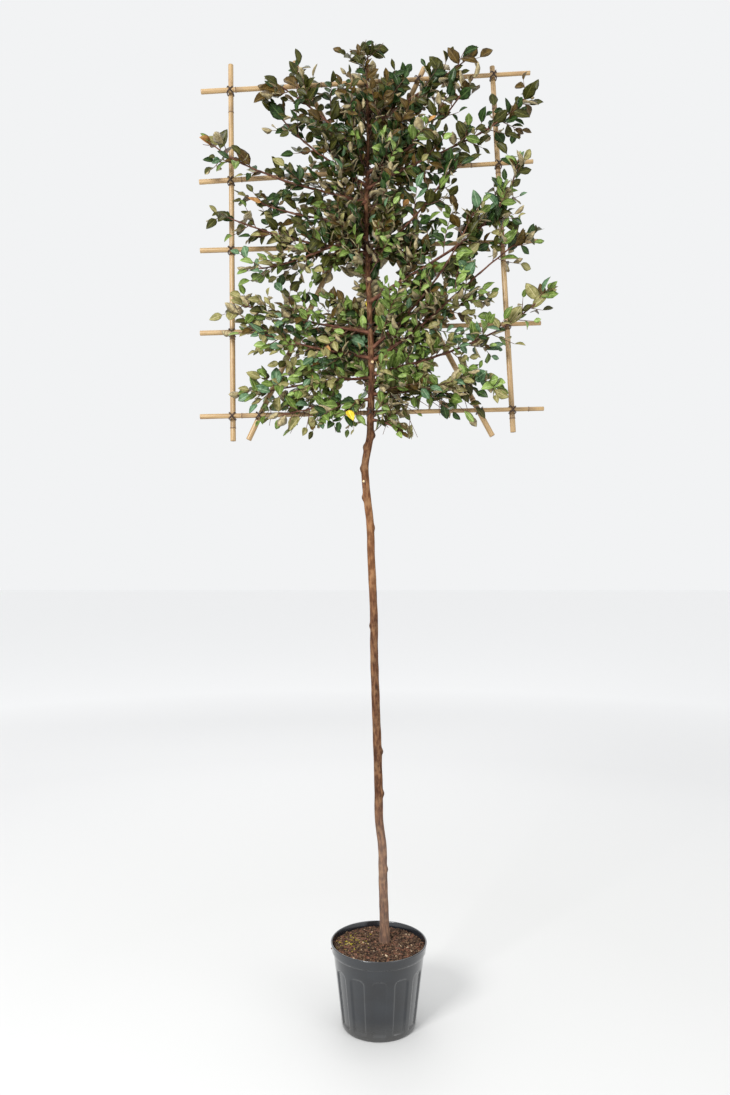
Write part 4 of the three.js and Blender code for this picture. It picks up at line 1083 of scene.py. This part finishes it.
def hidesRail(point):
    # on or below the lowest rung, which shows between the few leaves that hang there
    above = point[2] - heightAt(lattice["rungs"]["rung_5_bottom"], point[0])
    return above < crown["railBand"] and abs(point[0] - crown["railMiddle"]) < crown["railHalf"]


def growTwig(own, random, root, axis, length, turn, radius, hang):
    # a side twig that leaves at an angle and bends a little back towards its bearer; own is the arm's number,
    # or None on the trunk
    for attempt in range(twigRule["tries"]):
        roll = math.radians(turn + (random() - 0.5) * twigRule["rollSpread"] + attempt * twigRule["nextRoll"])
        angle = math.radians(twigRule["angle"] + (random() - 0.5) * twigRule["angleSpread"])
        direction = branchDirection(axis, roll, angle)
        if own is not None:
            direction = unit(direction * np.array([1.0, twigRule["flat"], 1.0]))
        reach = length * vary(random, *twigRule["reachShare"])
        reach *= 1 if attempt < twigRule["shorterFrom"] else twigRule["shorter"]
        sway = np.array([random() - 0.5 for _ in range(3)]) * twigRule["sway"]
        bend = (axis * twigRule["forwards"] + up * (twigRule["upwards"] - hang) + sway) * reach
        t = np.linspace(0, 1, twigRule["points"])[:, None]
        points = root + direction * reach * t + bend * t * t
        if not beforeTrunk(points[3:]) and isFree(points[2:], twigRule["room"]):
            return points, np.linspace(radius, twigRule["tipRadius"], twigRule["points"])
    return None


# colours and the lowest rung have draws of their own, so that they change no shape
tintDraw, railDraw = seededRandom(tintRule["seed"]), seededRandom(leafRule["railSeed"])
leafCells = {}


def tintFor(height):
    weights = next(w for low, w in tintZones if height > low)
    pick, total = tintDraw(), 0
    for index, weight in enumerate(weights):
        total += weight
        if pick < total:
            return index
    return 0


def leafTint(tint, place, middle):
    if tintDraw() < tintRule["ownTint"]:
        tint = tintFor(place[2])
    # outer leaves get paler colours: painted light
    outerX, outerTop, outerShare = tintRule["outer"]
    if abs(place[0]) > outerX and place[2] < outerTop and tintDraw() < outerShare:
        tint = tintRule["outerTints"][int(tintDraw() * len(tintRule["outerTints"]))]
    # leaves in the crown's middle depth get dark colours, more often higher up: painted shade
    near, far = tintRule["shade"]
    dark = tintRule["darkMost"] * min(1, max(0, (middle[2] - tintRule["darkFrom"]) / tintRule["darkRange"]))
    if near < middle[1] < far and tintDraw() < dark:
        tint = tintRule["shadeTints"][int(tintDraw() * len(tintRule["shadeTints"]))]
    pick = tintDraw()
    return next((special for share, special in (tintRule["yellow"], tintRule["dry"]) if pick < share), tint)


def cellOf(point):
    return tuple(int(v // leafRule["spread"]) for v in point)


def crowded(point):
    # true if a leaf's middle lies too near one that has grown already
    x, y, z = cellOf(point)
    near = [(x + i, y + j, z + k) for i in (-1, 0, 1) for j in (-1, 0, 1) for k in (-1, 0, 1)]
    return any(np.linalg.norm(other - point) < leafRule["spread"]
               for cell in near for other in leafCells.get(cell, ()))


def growLeaf(random, place, axis, roll, leafAngle, size, tint, leaves):
    mayCover = random() > leafRule["trunkShows"]
    mayCoverBough = random() > leafRule["boughShows"]
    turnedTop, turnedHigh, turnedLow = leafRule["turnedOver"]
    for attempt in range(leafRule["tries"]):
        turned = roll + math.radians(
            (random() - 0.5) * leafRule["rollSpread"] + attempt * leafRule["nextRoll"])
        angle = math.radians(leafAngle * vary(random, *leafRule["angleShare"]))
        along = branchDirection(axis, turned, angle)
        outward = -1.0 if place[1] < leafRule["backFrom"] else 1.0
        lift = leafRule["lift"][0 if place[2] < leafRule["lessLiftFrom"] else 1]
        face = np.array([(random() - 0.5) * leafRule["aside"], outward * vary(random, *leafRule["outwards"]),
                         vary(random, lift, leafRule["upwards"])])
        if random() < (turnedHigh if place[2] > turnedTop else turnedLow):
            face = -face
        face = unit(face - along * face.dot(along))
        length = size * vary(random, *leafRule["lengthShare"])
        sideways = np.cross(face, along) * length * leafRule["half"]
        middle = place + along * length * leafRule["middle"]
        if crowded(middle):
            continue
        spots = np.array([middle, place + along * length, middle + sideways, middle - sideways])
        if (beforeTrunk(spots) and not mayCover) or (beforeBough(spots) and not mayCoverBough):
            continue
        if not isFree(spots, leafRule["room"], vary(random, *leafRule["softEdge"])):
            continue
        leafCells.setdefault(cellOf(middle), []).append(middle)
        tint = leafTint(tint, place, middle)
        turn = Matrix((along, np.cross(face, along), face)).transposed().to_euler()
        leaf = (place, tuple(turn), length, int(random() * len(leafForms)), tint)
        if not (hidesRail(middle) and railDraw() < leafRule["railShows"]):
            leaves.append(leaf)
        return


def leafRow(random, points, size, tint, leaves, start, sparser):
    # leaves stand alternately along a twig, with one at its end
    length = np.linalg.norm(points[-1] - points[0])
    count = max(2, int(length * (1 - start) / leafRule["step"] / sparser))
    for i in range(count + 1):
        share = start + (1 - start) * i / count
        spot = share * (len(points) - 1)
        k = min(len(points) - 2, int(spot))
        stretch = points[k + 1] - points[k]
        angle = leafRule["angle"] * (leafRule["endAngle"] if i == count else 1)
        growLeaf(random, points[k] + stretch * (spot - k), unit(stretch), i * math.pi + 0.5, angle,
                 size * (1 - leafRule["smaller"] * share), tint, leaves)


def growSpray(own, random, root, axis, reach, turn, thicker, hang, sizes, sparser, forks, grown):
    # a twig with its leaves, and side twigs on a long one
    twigs, leaves = grown
    twig = growTwig(own, random, root, axis, reach, turn, twigRule["radius"] * thicker, hang)
    if twig is None:
        return
    twigs.append(twig)
    points, tint = twig[0], tintFor(root[2])
    leafRow(random, points, sizes[0], tint, leaves, forks["start"], sparser)
    if reach > forks["from"] and (forks["chance"] is None or random() < forks["chance"]):
        for fork in forks["at"]:
            along = unit(points[fork + 1] - points[fork])
            side = growTwig(own, random, points[fork], along, reach * forks["reach"], turn + fork * 90,
                            twigRule["radius"] * twigRule["sideRadius"], hang)
            if side is not None:
                twigs.append(side)
                leafRow(random, side[0], sizes[1], tint, leaves, twigRule["sideLeafStart"], sparser)


def growArm(index):
    # twigs and leaves all along one arm, and the leaves at its tip
    data = armData[index]
    random = seededRandom(twigRule["firstSeed"] + index)
    path, bare = data["path"], data["bare"]
    tangents, grown = tangentsOf(path), ([], [])
    hidden = data["name"].startswith("back")
    more, longer, hang = armHabit.get(data["name"], (1.0, 1.0, 0.0))
    step = twigRule["step"] / more * (twigRule["backStep"] if hidden else 1)
    start = max(bare * twigRule["bareStart"], twigRule["leastStart"])
    thinning = 1 if hidden else (1 + twigRule["tipStep"]) / 2
    count = max(4, int(data["length"] * (1 - start) / step / thinning))
    for i in range(count):
        even = (i + 0.4) / count
        share = start + (1 - start) * (even if hidden else even ** twigRule["towardsTrunk"])
        spot = int(share * (len(path) - 1))
        own = max(0, share - bare) / (1 - bare)
        reach = data["twig"] * (1 - twigRule["shortening"] * own) + twigRule["extraReach"]
        reach *= vary(random, *twigRule["armReachShare"]) * (1 - twigRule["tipReach"] * own) * longer
        least, growth = twigRule["leafSize"]
        size = leafRule["length"] * (least + growth * own)
        growSpray(index, random, path[spot], tangents[spot], reach, i * goldenAngle, 1, hang,
                  (size, size * twigRule["sideLeafSize"]), 1 + twigRule["tipSparser"] * own, armForks, grown)
    endSize = leafRule["length"] * twigRule["endLeafSize"]
    leafRow(random, path[-6:], endSize, tintFor(path[-1][2]), grown[1], 0.0, 1.0)
    return grown


def growOnTrunk():
    # short leafy twigs all round the trunk, which close the middle of the crown
    random, grown = seededRandom(twigRule["firstSeed"] - 1), ([], [])
    shortest, longest = trunkTwigs["reach"]
    (topFrom, topMissing), (footTo, footMissing) = trunkTwigs["topThins"], trunkTwigs["footThins"]
    sizes = [leafRule["length"] * trunkTwigs[key] for key in ("size", "sideSize")]
    for i, z in enumerate(np.arange(*trunkTwigs["span"])):
        z += (random() - 0.5) * trunkTwigs["span"][2]
        axis = unit(trunkCentre(z + 0.01) - trunkCentre(z - 0.01))
        reach = shortest + (longest - shortest) * random()
        if z > topFrom:
            reach *= trunkTwigs["topShorter"]
        missing = topMissing if z > topFrom else footMissing if z < footTo else None
        if missing and random() < missing:
            continue
        growSpray(None, random, trunkCentre(z), axis, reach, i * goldenAngle, trunkTwigs["thicker"], 0.0,
                  sizes, 1.0, trunkForks, grown)
    return grown


leafValues = {"turn": "FLOAT_VECTOR", "size": "FLOAT", "shape": "INT", "tint": "INT"}


def leafTree():
    # sets a leaf on every point by the point's own turn, size, shape and colour number
    tree, given = nodeTree("leavesOnPoints", [
        ("Leaf Shapes", "Collection", None), ("Leaf Size", "Float", 1.0)])
    turn, size, shape, tint, back = (
        addNode(tree, "InputNamedAttribute", {"data_type": kind, "Name": name})
        for name, kind in [*leafValues.items(), ("back", "BOOLEAN")])
    parts = addNode(tree, "CollectionInfo", {
        "Collection": given["Leaf Shapes"], "Separate Children": True, "Reset Children": True})
    placed = addNode(tree, "InstanceOnPoints", {
        "Points": given["Geometry"], "Instance": parts, "Pick Instance": True, "Instance Index": shape,
        "Rotation": addNode(tree, "EulerToRotation", {0: turn}),
        "Scale": addNode(tree, "Math", {"operation": "MULTIPLY", 0: size, 1: given["Leaf Size"]})})
    upper = addNode(tree, "BooleanMath", {"operation": "NOT", 0: back})
    paints = [{"Material": leafBack, "Selection": back}]
    for number, material in enumerate(upperMaterials):
        same = addNode(tree, "Compare", {"data_type": "INT", "operation": "EQUAL", "A": tint, "B": number})
        both = addNode(tree, "BooleanMath", {"operation": "AND", 0: same, 1: upper})
        paints.append({"Material": material, "Selection": both})
    return endTree(tree, placed, paints)


def leafCarrier(leaves):
    places, *columns = zip(*leaves)
    mesh = bpy.data.meshes.new("leafPoints")
    mesh.from_pydata([tuple(place) for place in places], [], [])
    for (name, kind), column in zip(leafValues.items(), columns):
        setValues(mesh, name, kind, "POINT", column)
    return newObject("leafPoints", mesh)


def makeFoliage():
    shapes = shapeCollection("leafShapes", [leafShape(name, *form) for name, form in leafForms.items()])
    spread, twigTree = leafTree(), sweepTree("twigAlongPath", 5, twigBark)
    names = [data["name"] for data in armData]
    grown = {name: growArm(index) for index, name in enumerate(names)}
    grown["trunk"] = growOnTrunk()
    print("grown:", sum(len(twigs) for twigs, _ in grown.values()), "twigs,",
          sum(len(leaves) for _, leaves in grown.values()), "leaves")
    groups = {"LeftUpper": names[:5], "LeftLower": names[5:10], "RightUpper": names[10:15],
              "RightLower": names[15:20], "Back": names[20:], "Middle": ["trunk"]}
    for group, members in groups.items():
        twigs, leaves = ([item for name in members for item in grown[name][kind]] for kind in (0, 1))
        nodes = [f"foliage_{name}" for name in members if name != "trunk"]
        wood = applyTree(pathCarrier(twigs), twigTree, {"Thickness": 1.0, "Sides": 5}, "twigs" + group)
        settle(wood, "bough_bark", *nodes)
        green = applyTree(leafCarrier(leaves), spread, {"Leaf Shapes": shapes, "Leaf Size": 1.0},
                          "leaves" + group)
        settle(green, "leaves", *nodes)


makeFoliage()
print("foliage ready")


pot = {
    "height": 0.275, "rim": 0.160, "neck": 0.151, "base": 0.123, "skin": 0.0035, "collar": 0.031,
    "shoulder": 0.005,
    "panels": 12, "panelDepth": 0.0042, "panelFoot": 0.018, "panelHead": 0.205, "panelShare": 0.36,
    "panelSlope": 0.0052, "headCorner": 0.020, "footCorner": 0.006, "sides": 312, "ringStep": 0.003,
}


def shellRadius(z):
    return pot["base"] + (pot["neck"] - pot["base"]) * z / (pot["height"] - pot["collar"])


def panelled(radius, z, angle):
    # the side is set back inside the panels, which have round corners
    pitch = fullTurn * radius / pot["panels"]
    aside = ((angle / fullTurn * pot["panels"] + 0.5) % 1 - 0.5) * pitch
    halfWide = pitch * pot["panelShare"]
    halfHigh, middle = (pot["panelHead"] - pot["panelFoot"]) / 2, (pot["panelHead"] + pot["panelFoot"]) / 2
    corner = min(halfWide, pot["headCorner"]) if z > middle else pot["footCorner"]
    dx = max(abs(aside) - halfWide + corner, 0)
    dz = max(abs(z - middle) - halfHigh + corner, 0)
    share = min(1, max(0, (corner - math.hypot(dx, dz)) / pot["panelSlope"]))
    return radius - pot["panelDepth"] * share * share * (3 - 2 * share)


def ring(sides, radiusAt, riseAt):
    spots = []
    for j in range(sides):
        angle = j / sides * fullTurn
        x, y = math.cos(angle) * radiusAt(angle), math.sin(angle) * radiusAt(angle)
        spots.append((x, y, riseAt(x, y)))
    return spots


def lathed(first, rings, last, fromFoot):
    # a closed skin over rings of points, from the middle of its foot, or else of its top, to the other end
    sides = len(rings[0])
    verts = [first] + [spot for spots in rings for spot in spots] + [last]
    faces, base = [], 1 + (len(rings) - 1) * sides
    for j in range(sides):
        k = (j + 1) % sides
        strip = [(0, 1 + k, 1 + j)]
        strip += [(a + j, a + k, a + sides + k, a + sides + j) for a in range(1, base, sides)]
        strip.append((len(verts) - 1, base + j, base + k))
        faces += strip if fromFoot else [face[:1] + face[:0:-1] for face in strip]
    return verts, faces


def makePot():
    high, rim, neckRadius, base, skin = (pot[key] for key in ("height", "rim", "neck", "base", "skin"))
    neck, shoulder, deep = high - pot["collar"], neckRadius + pot["shoulder"], pot["panelDepth"]
    innerNeck = neckRadius - skin
    foot = [(0.04, 0.0), (0.08, 0.0), (base - 0.006, 0.0), (base - 0.002, 0.0008), (base, 0.004)]
    shell = [(shellRadius(z), z) for z in np.arange(0.008, neck - 0.004, pot["ringStep"])]
    collar = [(neckRadius - 0.0003, neck - 0.003), (neckRadius + 0.0012, neck - 0.0006),
              (shoulder - 0.001, neck + 0.0006), (shoulder, neck + 0.0024)]
    collar += [(shoulder + 0.0035 * s, neck + 0.0024 + (high - 0.0054 - neck) * s)
               for s in (0.25, 0.5, 0.75, 1.0)]
    lip = [(rim - 0.0003, high - 0.0018), (rim - 0.0012, high - 0.0004), (rim - 0.0028, high),
           (rim - 0.0046, high - 0.0005), (rim - 0.0056, high - 0.0022)]
    inner = [(innerNeck + 0.0055, neck + 0.014), (innerNeck + 0.0012, neck + 0.003),
             (innerNeck, neck - 0.004), (shellRadius(0.2) - deep - 0.0008, 0.2),
             (base - deep - skin + 0.0004, 0.012), (base - deep - skin - 0.002, skin)]
    rings = []
    for profile in (foot, shell, collar + lip + inner):
        for radius, z in profile:
            rings.append(ring(
                pot["sides"], lambda angle: panelled(radius, z, angle) if profile is shell else radius,
                lambda x, y: z))
    verts, faces = lathed((0, 0, 0.0), rings, (0, 0, skin), True)
    settle(meshObject("potShell", verts, faces, [potPlastic]), "pot_plastic", "pot")


soil = {
    "height": 0.250, "heaped": 0.010, "edge": 0.1500, "sides": 128, "rings": 46,
    # lumps: times a metre, where in the noise, height; the mound at the stem: height, width squared
    "lumps": [(42, 1.7, 0.0042), (130, 4.1, 0.0022)], "mound": (0.005, 0.0012), "sinks": (0.006, 0.72),
    # below the top: radius and height, and the foot's radii as shares
    "side": [(0.1468, 0.2465), (0.1460, 0.2360)], "foot": [(1, 0.0045), (0.5, 0.0039)], "under": 0.0038,
    # what counts as the top; moss: place and how far it spreads; how flat the lumps get at the edge
    "topFrom": 0.249, "moss": (-0.088, 0.022, 0.045, 0.05), "edgeFlat": (0.8, 8),
}
# name: flake size, per square metre, mossy places only, finish, seed
soilBits = {
    "compostCrumbs": ((0.007, 0.006, 0.005), 48000.0, 0.0, compost, 3),
    "barkChips": ((0.018, 0.011, 0.004), 4500.0, 0.0, barkChip, 5),
    "paleChips": ((0.011, 0.006, 0.003), 2600.0, 0.0, paleChip, 8),
    "mossTufts": ((0.005, 0.005, 0.004), 36000.0, 1.0, moss, 11),
}


def soilHeight(x, y):
    far = math.hypot(x, y) / soil["edge"]
    lump = sum(noise.noise(Vector((x * times, y * times, place))) * high
               for times, place, high in soil["lumps"])
    flatter, steep = soil["edgeFlat"]
    lump *= 1 - flatter * min(1, far) ** steep
    stemX, stemY = trunkCentre(trunk["soil"])[:2]
    moundHigh, moundWide = soil["mound"]
    mound = moundHigh * math.exp(-(((x - stemX) ** 2 + (y - stemY) ** 2) / moundWide))
    sink, sinkFrom = soil["sinks"]
    return soil["height"] + soil["heaped"] + lump - sink * max(0, far - sinkFrom) / (1 - sinkFrom) + mound


def makeSoil():
    footRadius = pot["base"] - pot["panelDepth"] - pot["skin"] - 0.001
    rings = [ring(soil["sides"], lambda angle: soil["edge"] * i / soil["rings"], soilHeight)
             for i in range(1, soil["rings"] + 1)]
    for radius, z in soil["side"] + [(footRadius * share, z) for share, z in soil["foot"]]:
        rings.append(ring(soil["sides"], lambda angle: radius, lambda x, y: z))
    verts, faces = lathed((0, 0, soilHeight(0, 0)), rings, (0, 0, soil["under"]), False)
    mossX, mossY, wide, deep = soil["moss"]
    mossy = [math.exp(-(((v[0] - mossX) / wide) ** 2 + ((v[1] - mossY) / deep) ** 2)) for v in verts]
    piece = meshObject("compostFill", verts, faces, [compost], values={"mossy": mossy})
    top = [1.0 if all(verts[i][2] > soil["topFrom"] for i in face) else 0.0 for face in faces]
    setValues(piece.data, "top", "FLOAT", "FACE", top)
    return piece


# least and spread of a flake's reach and thickness
flake = {"corners": 6, "reach": (0.36, 0.28), "thickness": (0.7, 0.5), "layerTurn": 0.3}


def flakeShape(name, size, material, seed):
    # a torn flake of bark or a crumb, closed, with a few faces
    random, corners = seededRandom(seed), flake["corners"]
    verts = []
    for layer in (-0.5, 0.5):
        for j in range(corners):
            angle = j / corners * fullTurn + layer * flake["layerTurn"]
            r = vary(random, *flake["reach"])
            verts.append((math.cos(angle) * size[0] * r, math.sin(angle) * size[1] * r,
                          layer * size[2] * vary(random, *flake["thickness"])))
    faces = [tuple(reversed(range(corners))), tuple(range(corners, 2 * corners))]
    faces += [(j, (j + 1) % corners, corners + (j + 1) % corners, corners + j) for j in range(corners)]
    return meshObject(name, verts, faces, [material], smooth=False)


def scatterTree():
    # drops pieces of a collection over the soil's top, turned and sized at random
    tree, given = nodeTree("bitsOnSoil", [
        ("Bits", "Collection", None), ("Per Square Metre", "Float", 9000.0), ("Smallest", "Float", 0.45),
        ("Largest", "Float", 1.35), ("Seed", "Int", 3), ("Mossy Only", "Float", 0.0),
        ("Finish", "Material", None)])
    top, mossy = (addNode(tree, "InputNamedAttribute", {"data_type": "FLOAT", "Name": name})
                  for name in ("top", "mossy"))
    share = addNode(tree, "Mix", {
        "data_type": "FLOAT", "Factor": given["Mossy Only"], "A": 1.0, "B": mossy})
    onTop = addNode(tree, "Math", {"operation": "MULTIPLY", 0: top, 1: share})
    density = addNode(tree, "Math", {"operation": "MULTIPLY", 0: onTop, 1: given["Per Square Metre"]})
    points = addNode(tree, "DistributePointsOnFaces", {
        "Mesh": given["Geometry"], "Density": density, "Seed": given["Seed"]})
    parts = addNode(tree, "CollectionInfo", {
        "Collection": given["Bits"], "Separate Children": True, "Reset Children": True})
    turn = addNode(tree, "RandomValue", {
        "data_type": "FLOAT_VECTOR", "Min": (-0.5, -0.5, 0), "Max": (0.5, 0.5, 6.28), "Seed": given["Seed"]})
    size = addNode(tree, "RandomValue", {
        "data_type": "FLOAT", "Min": given["Smallest"], "Max": given["Largest"], "Seed": given["Seed"]})
    placed = addNode(tree, "InstanceOnPoints", {
        "Points": points, "Instance": parts, "Pick Instance": True, "Scale": size,
        "Rotation": addNode(tree, "EulerToRotation", {0: turn})})
    return endTree(tree, placed, [{"Material": given["Finish"]}])


def makeBits(soilPiece):
    tree = scatterTree()
    for name, (size, density, mossyOnly, finish, seed) in soilBits.items():
        flakes = [flakeShape(f"{name}{k}", size, finish, seed * 10 + k) for k in range(3)]
        carrier = newObject("soilTop", soilPiece.data.copy())
        settle(applyTree(carrier, tree, {
            "Bits": shapeCollection(name + "Shapes", flakes), "Per Square Metre": density, "Smallest": 0.45,
            "Largest": 1.35, "Seed": seed, "Mossy Only": mossyOnly, "Finish": finish}, name), "potting_soil")


makePot()
soilPiece = makeSoil()
makeBits(soilPiece)
settle(soilPiece, "potting_soil", "soil")
print("pot and soil ready")
